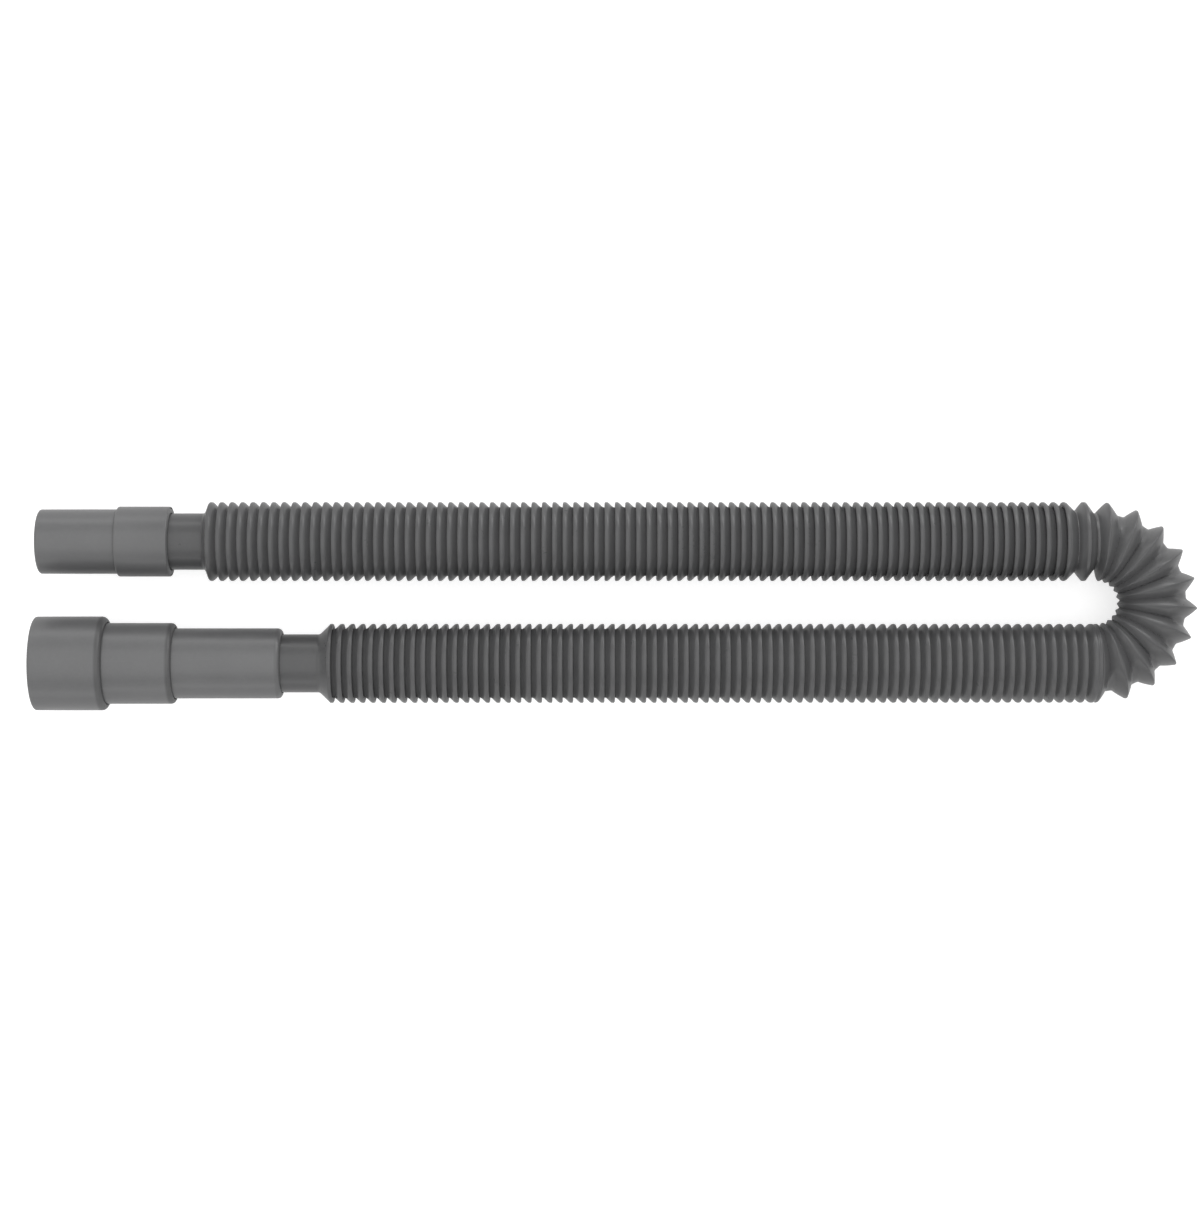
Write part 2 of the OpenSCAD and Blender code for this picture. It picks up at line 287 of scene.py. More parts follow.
    @property
    def collar_r(self) -> float:
        """The collar's outer radius."""
        return self.collar_bore + self.collar_wall

    @property
    def inner_groove(self) -> float:
        """Where the seal's groove begins on the inner sleeve."""
        return self.middle_start + self.inner_insert / 2

    @property
    def middle_groove(self) -> float:
        """Where the seal's groove begins on the middle sleeve."""
        return self.socket_start + (self.middle_insert - self.ring_width) / 2

    @property
    def lip_place(self) -> float:
        """Where the lip seal's groove begins in the socket."""
        return self.rim - 3 * self.lead_in - self.lip_width

    @property
    def tilt(self) -> float:
        """Slope of the lower run in radians, with its socket and its pleats on the ground."""
        return math.asin((self.socket_r - self.crest_r) / self.socket_start)

    @property
    def bend_pleat(self) -> float:
        """Degrees of the bend that one open pleat takes."""
        return (180 + self.run_on - self.first_flank) / (self.sections * self.section_pleats)

    @property
    def first_root(self) -> float:
        """The first open root's place round the bend, in degrees."""
        return self.first_flank - 90

    @property
    def open_gain(self) -> float:
        """How much longer a pleat is when it is open."""
        return self.open_long + self.open_crest + self.open_short - self.shut_pitch

    @property
    def bend_centre(self) -> tuple[float, float]:
        """The bend's centre in plan, with the whole hose centred on the origin.

        Returns:
            Its x and y in millimetres.
        """
        reach = max(
            (self.bend_radius + self.crest_r)
            * math.cos(math.radians(self.first_root + self.bend_pleat * (k + self.long_share)))
            for k in range(self.sections * self.section_pleats)
        )
        far = self.rim * math.cos(self.tilt) + self.socket_r * math.sin(self.tilt)
        return (far - reach) / 2, (self.socket_r - self.crest_r) / 2

    def seal_place(self, start: float) -> float:
        """Where the ring seal's groove begins in a sleeve that begins at start."""
        return start + 3 * self.lead_in

    def bead_place(self, end: float) -> float:
        """Where the bead begins on a neck that ends at end."""
        return end - 3 * self.bead_width


SIZES = KitSizes()


# ---- Round shapes ----------------------------------------------------------


@dataclass(frozen=True)
class Corner:
    """A corner of an outline: its place along the axis, its radius and how it is finished.

    soft is the radius of its rounding, wear how rubbed it is and shelter how far it lies
    out of the light, both from 0 to 1. moved is how far it moves when the pleats are open.
    """

    along: float
    radius: float
    soft: float = 0.0
    wear: float = 0.0
    shelter: float = 0.0
    moved: float = 0.0


def hidden(along: float, radius: float, soft: float = 0.2, shelter: float = 1.0) -> Corner:
    """A corner that nothing rubs, out of the light unless told otherwise."""
    return Corner(along, radius, soft, 0.0, shelter)


def plain(along: float, radius: float, shelter: float = 0.0, moved: float = 0.0) -> Corner:
    """A sharp corner that nothing rubs."""
    return Corner(along, radius, 0.0, 0.0, shelter, moved)


@dataclass
class Outline:
    """Arrays of one closed outline, a row for each ring of the piece."""

    along: np.ndarray
    radius: np.ndarray
    wear: np.ndarray
    shelter: np.ndarray
    moved: np.ndarray

    @classmethod
    def of(cls, corners: Sequence[Corner]) -> "Outline":
        """Makes the arrays of some corners.

        Args:
            corners: The corners in order.

        Returns:
            The outline that has one row for each of them.
        """
        columns = [np.array([getattr(c, name) for c in corners], float)
                   for name in ("along", "radius", "wear", "shelter", "moved")]
        return cls(*columns)


class Softener:
    """Rounds the corners of an outline and splits its long straight stretches.

    The roundings at a stretch's two ends share its ROOM, a turn under LEAST_TURN stays
    sharp, and a stretch over SPLIT_BORDERS borders long gets a ring near each end. Wear is
    END_WEAR of its full strength where a rounding ends, and on the stretch it fades from
    WORN_ON to nothing over FADE_BORDERS borders.
    """

    ROOM = 0.95
    LEAST_TURN = math.radians(4)
    END_WEAR = 0.35
    WORN_ON = 0.4
    FADE_BORDERS = 3
    SPLIT_BORDERS = 4

    def __init__(self, step_deg: float = 22.5, longest: float = 14.0, border: float = 0.7) -> None:
        """Args:
            step_deg: The largest turn between two points of a rounding.
            longest: The longest stretch without a ring, in millimetres.
            border: How near a rounding the next ring lies, so that its shading ends there.
        """
        self.step = math.radians(step_deg)
        self.longest = longest
        self.border = border

    def corner(self, before: Corner, at: Corner, after: Corner) -> list[Corner]:
        """Rounds one corner.

        Args:
            before: The corner before it.
            at: The corner itself.
            after: The corner after it.

        Returns:
            The points that take its place.
        """
        p = np.array([at.along, at.radius])
        to_a, to_b = (np.array([c.along, c.radius]) - p for c in (before, after))
        len_a, len_b = np.linalg.norm(to_a), np.linalg.norm(to_b)
        if at.soft <= 0 or min(len_a, len_b) < 1e-6:
            return [at]
        to_a, to_b = to_a / len_a, to_b / len_b
        turn = math.pi - math.acos(float(np.clip(to_a @ to_b, -1, 1)))
        if turn < self.LEAST_TURN:
            return [at]
        room_a, room_b = (self.ROOM * room * at.soft / (at.soft + c.soft)
                          for room, c in ((len_a, before), (len_b, after)))
        cut = min(at.soft * math.tan(turn / 2), room_a, room_b)
        size = cut / math.tan(turn / 2)
        middle = to_a + to_b
        centre = p + middle / np.linalg.norm(middle) * size / math.cos(turn / 2)
        first, last = p + to_a * cut - centre, p + to_b * cut - centre
        parts = max(2, math.ceil(turn / self.step))
        points = []
        for i in range(parts + 1):
            t = i / parts
            way = (first * math.sin((1 - t) * turn) + last * math.sin(t * turn)) / math.sin(turn)
            x, r = centre + way
            worn = self.END_WEAR + (1 - self.END_WEAR) * math.sin(math.pi * t)
            points.append(Corner(float(x), float(r), 0.0, at.wear * worn, at.shelter, at.moved))
        return points

    def stretch(self, a: Corner, b: Corner) -> list[Corner]:
        """Splits the stretch between two points.

        Args:
            a: Where it begins.
            b: Where it ends.

        Returns:
            The points between the two.
        """
        length = math.hypot(b.along - a.along, b.radius - a.radius)
        shares: list[float] = []
        if length > self.SPLIT_BORDERS * self.border:
            shares = [self.border / length, 1 - self.border / length]
        inner = length - 2 * self.border
        parts = math.ceil(inner / self.longest) if inner > 0 else 0
        shares += [(self.border + inner * i / parts) / length for i in range(1, parts)]
        points = []
        for t in sorted(shares):
            near = min(t, 1 - t) * length
            fade = max(0.0, 1 - near / (self.FADE_BORDERS * self.border)) * self.WORN_ON
            worn = (a if t < 0.5 else b).wear * fade
            along, radius, shelter, moved = (
                getattr(a, key) + (getattr(b, key) - getattr(a, key)) * t
                for key in ("along", "radius", "shelter", "moved"))
            points.append(Corner(along, radius, 0.0, worn, shelter, moved))
        return points

    def soften(self, corners: Sequence[Corner], closed: bool = True) -> list[Corner]:
        """Rounds and splits a whole outline.

        Args:
            corners: Its corners in order.
            closed: Whether the last corner goes on to the first.

        Returns:
            The points of the finished outline.
        """
        count = len(corners)
        groups = [
            self.corner(corners[i - 1], corners[i], corners[(i + 1) % count])
            if closed or 0 < i < count - 1 else [corners[i]]
            for i in range(count)
        ]
        out: list[Corner] = []
        for i, group in enumerate(groups):
            out += group
            if closed or i < count - 1:
                out += self.stretch(group[-1], groups[(i + 1) % count][0])
        return out


@dataclass(frozen=True)
class Axis:
    """A straight line that round pieces stand on.

    side points away from the inside of the U, and rise is upwards, square to the line.
    """

    origin: tuple[float, float, float]
    forward: tuple[float, float, float]
    side: tuple[float, float, float]
    rise: tuple[float, float, float]

    def rings(self, along: np.ndarray, radius: np.ndarray, turn: np.ndarray) -> np.ndarray:
        """Places rings on the line.

        Args:
            along: Each ring's distance from the origin.
            radius: Each ring's radius.
            turn: The angles of a ring's points, in radians.

        Returns:
            The points in metres, by ring and by angle.
        """
        origin, forward, side, rise = (
            np.array(v, float) for v in (self.origin, self.forward, self.side, self.rise))
        out = np.cos(turn)[:, None] * side + np.sin(turn)[:, None] * rise
        return (origin + along[:, None, None] * forward + radius[:, None, None] * out[None]) * MM

    def point(self, along: float) -> tuple[float, float, float]:
        """A point on the line, in metres."""
        return tuple((o + along * f) * MM for o, f in zip(self.origin, self.forward))


def run_axes(sizes: KitSizes) -> tuple[Axis, Axis]:
    """The lines of the lower and the upper run, both from the bend outwards.


    Returns:
        The lower line and the upper one.
    """
    x, y = sizes.bend_centre
    t = sizes.tilt
    lower = Axis((x, y - sizes.bend_radius, sizes.crest_r), (-math.cos(t), 0, math.sin(t)),
                 (0, -1, 0), (math.sin(t), 0, math.cos(t)))
    upper = Axis((x, y + sizes.bend_radius, sizes.crest_r), (-1, 0, 0), (0, 1, 0), (0, 0, 1))
    return lower, upper


LOWER_AXIS, UPPER_AXIS = run_axes(SIZES)


class RingMesh:
    """Makes a closed mesh from rings of points, with what its finish needs to know.

    Each point keeps its place at rest, how worn and how sheltered it is, and how far
    round it lies. The map OFBake lays the surface out in strips side by side, with the
    margins END_MARGIN and SIDE_MARGIN of a strip's own size.
    """

    END_MARGIN = 0.01
    SIDE_MARGIN = 0.02

    def __init__(self, name: str, points: np.ndarray, wear: np.ndarray, shelter: np.ndarray,
                 turn: np.ndarray) -> None:
        """Args:
            name: The piece's name.
            points: The points in metres, by ring and by angle.
            wear: How worn each ring or point is.
            shelter: How sheltered each ring or point is.
            turn: The angles of a ring's points.
        """
        self.name = name
        self.points = points
        self.count, self.sides = points.shape[:2]
        self.wear = self.by_point(wear)
        self.shelter = self.by_point(shelter)
        self.rise = np.broadcast_to(np.sin(turn), (self.count, self.sides))

    def by_point(self, values: np.ndarray) -> np.ndarray:
        """Gives each point of a ring the ring's value, unless each has its own."""
        return values if values.ndim == 2 else np.repeat(values[:, None], self.sides, axis=1)

    def quads(self) -> tuple[np.ndarray, np.ndarray]:
        """Joins each ring to the next.

        Returns:
            The faces' corners by point number, and the ring that each face begins at.
        """
        ring, side = np.meshgrid(np.arange(self.count), np.arange(self.sides), indexing="ij")
        after, beside = (ring + 1) % self.count, (side + 1) % self.sides
        faces = np.stack([ring * self.sides + side, ring * self.sides + beside,
                          after * self.sides + beside, after * self.sides + side], axis=-1)
        return faces.reshape(-1, 4), ring.reshape(-1)

    def inside_out(self, faces: np.ndarray) -> bool:
        """Whether the faces look inwards.

        Args:
            faces: The faces' corners by point number.

        Returns:
            True where the volume that they hold comes out below nothing.
        """
        flat = self.points.reshape(-1, 3)
        flat = flat - flat.mean(0)
        a, b, c, d = (flat[faces[:, i]] for i in range(4))
        return float((a * np.cross(b, c)).sum() + (a * np.cross(c, d)).sum()) < 0

    def layout(self, ring: np.ndarray) -> np.ndarray:
        """The map's corners for each face, in strips that each hold a stretch of the outline.

        Args:
            ring: The ring that each face begins at.

        Returns:
            The corners of every face on the map.
        """
        middle = self.points.mean(1)
        radius = np.linalg.norm(self.points - middle[:, None], axis=2).mean(1)
        onward = np.linalg.norm(np.roll(middle, -1, 0) - middle, axis=1)
        step = np.hypot(onward, np.roll(radius, -1) - radius)
        far = np.concatenate([[0.0], np.cumsum(step)])
        strips = max(1, round(math.sqrt(far[-1] / (2 * math.pi * radius.mean()))))
        strip = np.minimum((far[:-1] / far[-1] * strips).astype(int), strips - 1)
        low, high = np.zeros(self.count), np.zeros(self.count)
        for s in range(strips):
            own = strip == s
            start, end = far[:-1][own].min(), far[1:][own].max()
            for edge, at in ((low, far[:-1]), (high, far[1:])):
                share = (at[own] - start) / (end - start)
                edge[own] = self.END_MARGIN + (1 - 2 * self.END_MARGIN) * share
        side = np.tile(np.arange(self.sides), self.count)
        left, right = (
            (strip[ring] + self.SIDE_MARGIN + (1 - 2 * self.SIDE_MARGIN) * at / self.sides) / strips
            for at in (side, side + 1))
        corners = ((left, low), (right, low), (right, high), (left, high))
        return np.stack([np.stack([across, up[ring]], -1) for across, up in corners], axis=1)

    def build(self, sharp_deg: float = 42.0) -> bpy.types.Object:
        """Makes the object.

        Args:
            sharp_deg: Edges that turn more than this show as sharp.

        Returns:
            The new object, in the row frame.
        """
        faces, ring = self.quads()
        corners = self.layout(ring)
        if self.inside_out(faces):
            faces, corners = faces[:, ::-1], corners[:, ::-1]
        mesh = bpy.data.meshes.new(self.name)
        mesh.from_pydata(self.points.reshape(-1, 3).tolist(), [], faces.tolist())
        mesh.update()
        for label, values in (("wear", self.wear), ("shelter", self.shelter), ("rise", self.rise)):
            layer = mesh.attributes.new(label, "FLOAT", "POINT")
            layer.data.foreach_set("value", np.ascontiguousarray(values, np.float32).ravel())
        place = mesh.attributes.new("place", "FLOAT_VECTOR", "POINT")
        place.data.foreach_set("vector", self.points.astype(np.float32).ravel())
        chart = mesh.uv_layers.new(name="OFBake")
        chart.data.foreach_set("uv", np.ascontiguousarray(corners, np.float32).ravel())
        mesh.polygons.foreach_set("use_smooth", [True] * len(mesh.polygons))
        mesh.set_sharp_from_angle(angle=math.radians(sharp_deg))
        piece = bpy.data.objects.new(self.name, mesh)
        bpy.context.scene.collection.objects.link(piece)
        LOG.info("%s: %d rings of %d points, %d faces",
                 self.name, self.count, self.sides, len(faces))
        return piece


def full_turn(sides: int) -> np.ndarray:
    """The angles of a ring's points, in radians."""
    return np.arange(sides) * (2 * math.pi / sides)


# ---- Finishes --------------------------------------------------------------


class NodeBench:
    """Adds and links the nodes of one material.

    A Mix node has sockets for numbers, vectors and colours. Those for colours are told
    by their number, which MIX_SHARE, MIX_A, MIX_B and MIX_RESULT hold.
    """

    MIX_SHARE, MIX_A, MIX_B, MIX_RESULT = 0, 6, 7, 2

    def __init__(self, name: str) -> None:
        """Args:
            name: The new material's name.
        """
        self.material = bpy.data.materials.new(name)
        self.material.use_nodes = True
        self.tree = self.material.node_tree
        self.tree.nodes.clear()

    def add(self, kind: str, **settings: object) -> bpy.types.Node:
        """Adds a node.

        Args:
            kind: Blender's name of the node type, without ShaderNode.
            settings: Properties to set on it.

        Returns:
            The node.
        """
        node = self.tree.nodes.new("ShaderNode" + kind)
        for key, value in settings.items():
            setattr(node, key, value)
        return node

    def feed(self, socket: bpy.types.NodeSocket, value: object) -> None:
        """Links an output to a socket, or sets the socket to a value.

        Args:
            socket: The socket.
            value: Another node's output, or a plain value.
        """
        if isinstance(value, bpy.types.NodeSocket):
            self.tree.links.new(value, socket)
        else:
            socket.default_value = value

    def attribute(self, name: str, output: str = "Fac") -> bpy.types.NodeSocket:
        """Reads one of the mesh's own layers."""
        return self.add("Attribute", attribute_name=name).outputs[output]

    def math(self, operation: str, a: object, b: object = 0.0,
             clamp: bool = False) -> bpy.types.NodeSocket:
        """Works out two values.

        Args:
            operation: Blender's name of the operation.
            a: The first value, or an output.
            b: The second one.
            clamp: Whether the result is kept between 0 and 1.

        Returns:
            The result's output.
        """
        node = self.add("Math", operation=operation, use_clamp=clamp)
        self.feed(node.inputs[0], a)
        self.feed(node.inputs[1], b)
        return node.outputs[0]

    def times(self, a: object, b: object) -> bpy.types.NodeSocket:
        """The product of two values."""
        return self.math("MULTIPLY", a, b)

    def plus(self, a: object, b: object, clamp: bool = False) -> bpy.types.NodeSocket:
        """The sum of two values."""
        return self.math("ADD", a, b, clamp)

    def noise(self, place: bpy.types.NodeSocket, scale: float, detail: float = 3.0,
              rough: float = 0.55) -> bpy.types.NodeSocket:
        """Makes uneven spots.

        Args:
            place: Where they are laid out.
            scale: How many of them go to a metre.
            detail: How many finer layers they have.
            rough: How strong the finer layers are.

        Returns:
            The output, from 0 to 1.
        """
        node = self.add("TexNoise")
        self.feed(node.inputs["Vector"], place)
        self.feed(node.inputs["Scale"], scale)
        self.feed(node.inputs["Detail"], detail)
        self.feed(node.inputs["Roughness"], rough)
        return node.outputs["Fac"]

    def span(self, value: object, low: float, high: float, to_low: float = 0.0,
             to_high: float = 1.0) -> bpy.types.NodeSocket:
        """Moves a value smoothly from one range to another.

        Args:
            value: The value.
            low: The lower end of its range.
            high: The upper end.
            to_low: What the lower end becomes.
            to_high: What the upper end becomes.

        Returns:
            The moved value's output.
        """
        node = self.add("MapRange", interpolation_type="SMOOTHSTEP")
        ends = (("From Min", low), ("From Max", high), ("To Min", to_low), ("To Max", to_high))
        for key, number in ends:
            self.feed(node.inputs[key], number)
        self.feed(node.inputs["Value"], value)
        return node.outputs["Result"]

    def blend(self, share: object, a: object, b: object) -> bpy.types.NodeSocket:
        """Mixes two colours.

        Args:
            share: The second colour's share.
            a: The first colour.
            b: The second one.

        Returns:
            The mixed colour's output.
        """
        node = self.add("Mix", data_type="RGBA")
        self.feed(node.inputs[self.MIX_SHARE], share)
        self.feed(node.inputs[self.MIX_A], a)
        self.feed(node.inputs[self.MIX_B], b)
        return node.outputs[self.MIX_RESULT]

    def stretched(self, place: bpy.types.NodeSocket,
                  scale: tuple[float, float, float]) -> bpy.types.NodeSocket:
        """Stretches the place of a pattern.

        Args:
            place: The place.
            scale: By how much, along x, y and z.

        Returns:
            The stretched place's output.
        """
        node = self.add("Mapping")
        self.feed(node.inputs["Vector"], place)
        self.feed(node.inputs["Scale"], scale)
        return node.outputs["Vector"]

    def bump(self, height: object, depth: float,
             normal: Optional[bpy.types.NodeSocket] = None) -> bpy.types.NodeSocket:
        """Raises the surface.

        Args:
            height: The height, from 0 to 1.
            depth: What a height of 1 comes to, in metres.
            normal: The output of the bump below it, if any.

        Returns:
            The normal's output.
        """
        node = self.add("Bump")
        node.inputs["Strength"].default_value = 1.0
        node.inputs["Distance"].default_value = depth
        self.feed(node.inputs["Height"], height)
        if normal is not None:
            self.feed(node.inputs["Normal"], normal)
        return node.outputs["Normal"]

    def finish(self, shader: bpy.types.Node) -> bpy.types.Material:
        """Links the last shader to the surface."""
        self.tree.links.new(shader.outputs[0], self.add("OutputMaterial").inputs["Surface"])
        return self.material


def shade(colour: tuple[float, float, float], times: float) -> tuple[float, float, float, float]:
    """A colour made lighter or darker."""
    return tuple(min(1.0, c * times) for c in colour) + (1.0,)


@dataclass(frozen=True)
class PlasticFinish:
    """Satin moulded plastic with a fine grain, rubbed edges, faint drag marks and a painted tone in
    sheltered places.

    The mottle is how far its colour varies, grain, peel and seam are depths in metres of
    the fine skin, of its slow waves and of the parting line, and drag is how strong the
    marks along the piece are. A name that ends in spots holds a noise's scale to a metre,
    its detail and its roughness, and one that ends in range says which part of it shows.
    """

    name: str
    colour: tuple[float, float, float]
    gloss: float
    mottle: float = 0.06
    grain: float = 0.000012
    peel: float = 0.00003
    rubbed: float = 1.3
    painted_shelter_tone: float = 0.85
    drag: float = 0.5
    seam: float = 0.00006
    ior: float = 1.5

    # The patches: slow and fine spots together
    slow_spots: tuple[float, ...] = (38.0, 4.0)
    fine_spots: tuple[float, ...] = (420.0, 3.0)
    slow_share: float = 0.65
    patch_range: tuple[float, float] = (0.3, 0.7)
    patch_gloss: tuple[float, float] = (-0.035, 0.045)

    # The rubbed edges
    rub_spots: tuple[float, ...] = (150.0, 5.0, 0.62)
    rub_range: tuple[float, float] = (0.36, 0.66)
    rub_share: float = 0.75
    rub_rough: float = 0.12

    # The drag marks, long in x
    drag_stretch: tuple[float, float, float] = (14.0, 820.0, 820.0)
    drag_spots: tuple[float, ...] = (1.0, 4.0, 0.65)
    drag_range: tuple[float, float] = (0.6, 0.74)
    drag_share: float = 0.3
    drag_pale: float = 1.35
    drag_rough: float = 0.1
    drag_depth: float = 0.2

    # The painted tone in sheltered places, in patches: painted shade below 1, painted fill light above 1
    painted_shelter_range: tuple[float, float, float, float] = (0.2, 0.75, 0.65, 1.0)
    shelter_rough: float = 0.1

    # The relief: the skin, its slow waves and the mould's parting line
    skin_spots: tuple[float, ...] = (2600.0, 2.0)
    peel_spots: tuple[float, ...] = (240.0, 2.0)
    seam_range: tuple[float, float, float, float] = (0.004, 0.02, 1.0, 0.0)
    seam_breaks: tuple[float, float, float, float] = (0.3, 0.6, 0.4, 1.0)

    def material(self) -> bpy.types.Material:
        """Makes the material.

        Returns:
            The material, with every pattern laid out by the pieces' places at rest.
        """
        n = NodeBench(self.name)
        place = n.attribute("place", "Vector")
        wear, shelter, rise = (n.attribute(k) for k in ("wear", "shelter", "rise"))
        slow, fine, skin = (n.noise(place, *spots)
                            for spots in (self.slow_spots, self.fine_spots, self.skin_spots))
        patches = n.plus(n.times(slow, self.slow_share), n.times(fine, 1 - self.slow_share))
        streaks = n.noise(n.stretched(place, self.drag_stretch), *self.drag_spots)
        marks = n.times(n.span(streaks, *self.drag_range), self.drag)
        rub = n.times(wear, n.span(n.noise(place, *self.rub_spots), *self.rub_range))
        painted_shelter = n.times(shelter, n.span(slow, *self.painted_shelter_range))

        base = n.blend(n.span(patches, *self.patch_range), shade(self.colour, 1 - self.mottle),
                       shade(self.colour, 1 + self.mottle))
        base = n.blend(n.times(rub, self.rub_share), base, shade(self.colour, self.rubbed))
        base = n.blend(n.times(marks, self.drag_share), base, shade(self.colour, self.drag_pale))
        # Sheltered places are painted darker as painted shade, or lighter as painted fill light, by the
        # sheltered tone
        base = n.blend(painted_shelter, base, shade(self.colour, self.painted_shelter_tone))

        glossy, dull = (self.gloss + change for change in self.patch_gloss)
        rough = n.span(patches, *self.patch_range, glossy, dull)
        rough = n.plus(rough, n.times(rub, self.rub_rough))
        rough = n.plus(rough, n.times(marks, self.drag_rough))
        rough = n.plus(rough, n.times(painted_shelter, self.shelter_rough), True)

        line = n.span(n.math("ABSOLUTE", rise), *self.seam_range)
        raised = n.math("SUBTRACT", n.times(line, n.span(fine, *self.seam_breaks)),
                        n.times(marks, self.drag_depth))
        normal = n.bump(n.noise(place, *self.peel_spots), self.peel)
        normal = n.bump(skin, self.grain, normal)
        normal = n.bump(raised, self.seam, normal)

        plastic = n.add("BsdfPrincipled")
        n.feed(plastic.inputs["Base Color"], base)
        n.feed(plastic.inputs["Roughness"], rough)
        n.feed(plastic.inputs["Normal"], normal)
        plastic.inputs["IOR"].default_value = self.ior
        return n.finish(plastic)


@dataclass(frozen=True)
class RubberFinish:
    """Matte black sealing rubber, with a bloom of fine pale powder."""

    name: str
    colour: tuple[float, float, float]
    gloss: float = 0.55
    bloom: float = 2.2
    relief: float = 0.00002
    slow_spots: tuple[float, ...] = (120.0, 4.0)
    fine_spots: tuple[float, ...] = (1500.0, 3.0)
    slow_range: tuple[float, float] = (0.45, 0.75)
    fine_range: tuple[float, float] = (0.35, 0.7)
    gloss_range: tuple[float, float] = (0.3, 0.7)
    gloss_change: tuple[float, float] = (-0.06, 0.1)

    def material(self) -> bpy.types.Material:
        """Makes the material.

        Returns:
            The material of the seals.
        """
        n = NodeBench(self.name)
        place = n.attribute("place", "Vector")
        slow, fine = n.noise(place, *self.slow_spots), n.noise(place, *self.fine_spots)
        powder = n.times(n.span(slow, *self.slow_range), n.span(fine, *self.fine_range))
        base = n.blend(powder, shade(self.colour, 1.0), shade(self.colour, self.bloom))
        glossy, dull = (self.gloss + change for change in self.gloss_change)
        rubber = n.add("BsdfPrincipled")
        n.feed(rubber.inputs["Base Color"], base)
        n.feed(rubber.inputs["Roughness"], n.span(fine, *self.gloss_range, glossy, dull))
        n.feed(rubber.inputs["Normal"], n.bump(fine, self.relief))
        return n.finish(rubber)


@dataclass
class Palette:
    hose: bpy.types.Material
    fitting: bpy.types.Material
    seal: bpy.types.Material

    @classmethod
    def mixed(cls) -> "Palette":
        """Mixes the finishes.

        Returns:
            The palette.
        """
        # The hose's sheltered grooves and folds get painted fill light, up to half as light again
        hose = PlasticFinish(
            "hose_plastic", colour=(0.06, 0.0602, 0.0613), gloss=0.3, grain=0.000004,
            peel=0.00002, rubbed=1.12, painted_shelter_tone=1.5, ior=1.4)
        # The fittings' sheltered places get painted shade, down to under half their colour
        fitting = PlasticFinish(
            "fitting_plastic", colour=(0.088, 0.0885, 0.09), gloss=0.36, grain=0.000006,
            peel=0.00002, rubbed=1.1, painted_shelter_tone=0.42, drag=0.8)
        seal = RubberFinish("seal_rubber", colour=(0.013, 0.013, 0.0135))
        return cls(hose.material(), fitting.material(), seal.material())

    def of(self, slot: Slot) -> bpy.types.Material:
        """The finish of a slot."""
        return {Slot.HOSE: self.hose, Slot.FITTING: self.fitting, Slot.SEAL: self.seal}[slot]


# ---- Pieces ----------------------------------------------------------------

# How many points go round a fitting or a seal, round a neck or the bend, and round a run
ROUND_SIDES = 128
NECK_SIDES = 96
RUN_SIDES = 72
# How many times its radius a rounded shoulder reaches along a sleeve
SHOULDER_REACH = 1.3
# The hollow between a ring seal's lips: its depth in mm, and the lips' edges as shares of the width
SEAL_DIP = 0.3
SEAL_LIPS = (0.36, 0.64)


@dataclass
class Piece:
    """Something that stands for a CAD node: its name, the node and its finish."""

    name: str
    node: str
    slot: Slot

    def dress(self, piece: bpy.types.Object, palette: Palette) -> bpy.types.Object:
        """Gives the piece its finish and hides its CAD node.

        Args:
            piece: The piece's object.
            palette: The finishes.

        Returns:
            The same object.
        """
        piece.data.materials.append(palette.of(self.slot))
        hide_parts(self.node)
        return piece


@dataclass
class TurnedPiece(Piece):
    """A round piece with one outline all the way round, such as a sleeve or a seal."""

    axis: Axis
    corners: list[Corner]
    body: Body
    sides: int = ROUND_SIDES

    def build(self, palette: Palette) -> bpy.types.Object:
        """Makes, dresses and places the piece.

        Args:
            palette: The finishes.

        Returns:
            The finished object.
        """
        outline = Outline.of(Softener().soften(self.corners))
        turn = full_turn(self.sides)
        points = self.axis.rings(outline.along, outline.radius, turn)
        piece = RingMesh(self.name, points, outline.wear, outline.shelter, turn).build()
        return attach(self.dress(piece, palette), self.body.value)


def neck_corners(sizes: KitSizes, r: float, start: float, end: float) -> list[Corner]:
    """The outline of a smooth neck with the bead that its coupling snaps over.

    Args:
        r: The neck's outer radius.
        start: Where it leaves the pleats.
        end: Where it ends, inside its coupling.

    Returns:
        The closed outline.
    """
    bead, tip = sizes.bead_place(end), sizes.neck_wall / 2
    return [
        plain(start, r - sizes.neck_wall, 1.0),
        plain(start, r),
        Corner(bead, r, 0.6),
        Corner(bead + sizes.bead_width / 2, r + sizes.bead, 0.5, 0.4),
        Corner(bead + sizes.bead_width, r + sizes.bead, 0.5, 0.4),
        Corner(bead + 2 * sizes.bead_width, r, 0.6),
        Corner(end - tip, r, 0.3, 0.6),
        Corner(end, r - tip, 0.3, 0.6),
        Corner(end, r - sizes.neck_wall, 0.2),
    ]


def neck_socket_corners(sizes: KitSizes, r: float, start: float, end: float) -> list[Corner]:
    """The hollow that a neck snaps into.

    Args:
        r: The neck's outer radius.
        start: Where the sleeve begins on the neck.
        end: Where the neck ends inside it.

    Returns:
        The hollow's line, from the sleeve's end inwards.
    """
    bore, deep = r + sizes.push_fit, r + sizes.ring_depth
    bead, seal = sizes.bead_place(end), sizes.seal_place(start)
    return [
        hidden(start, bore + sizes.gap, 0.2, 0.4),
        hidden(start + sizes.lead_in, bore, 0.5, 0.9),
        hidden(seal, bore, 0.1),
        hidden(seal, deep),
        hidden(seal + sizes.ring_width, deep),
        hidden(seal + sizes.ring_width, bore, 0.1),
        hidden(bead, bore, 0.6),
        hidden(bead + sizes.bead_width / 2, bore + sizes.bead, 0.5),
        hidden(bead + sizes.bead_width, bore + sizes.bead, 0.5),
        hidden(bead + 2 * sizes.bead_width, bore, 0.6),
        hidden(end + sizes.stop_gap, bore),
    ]


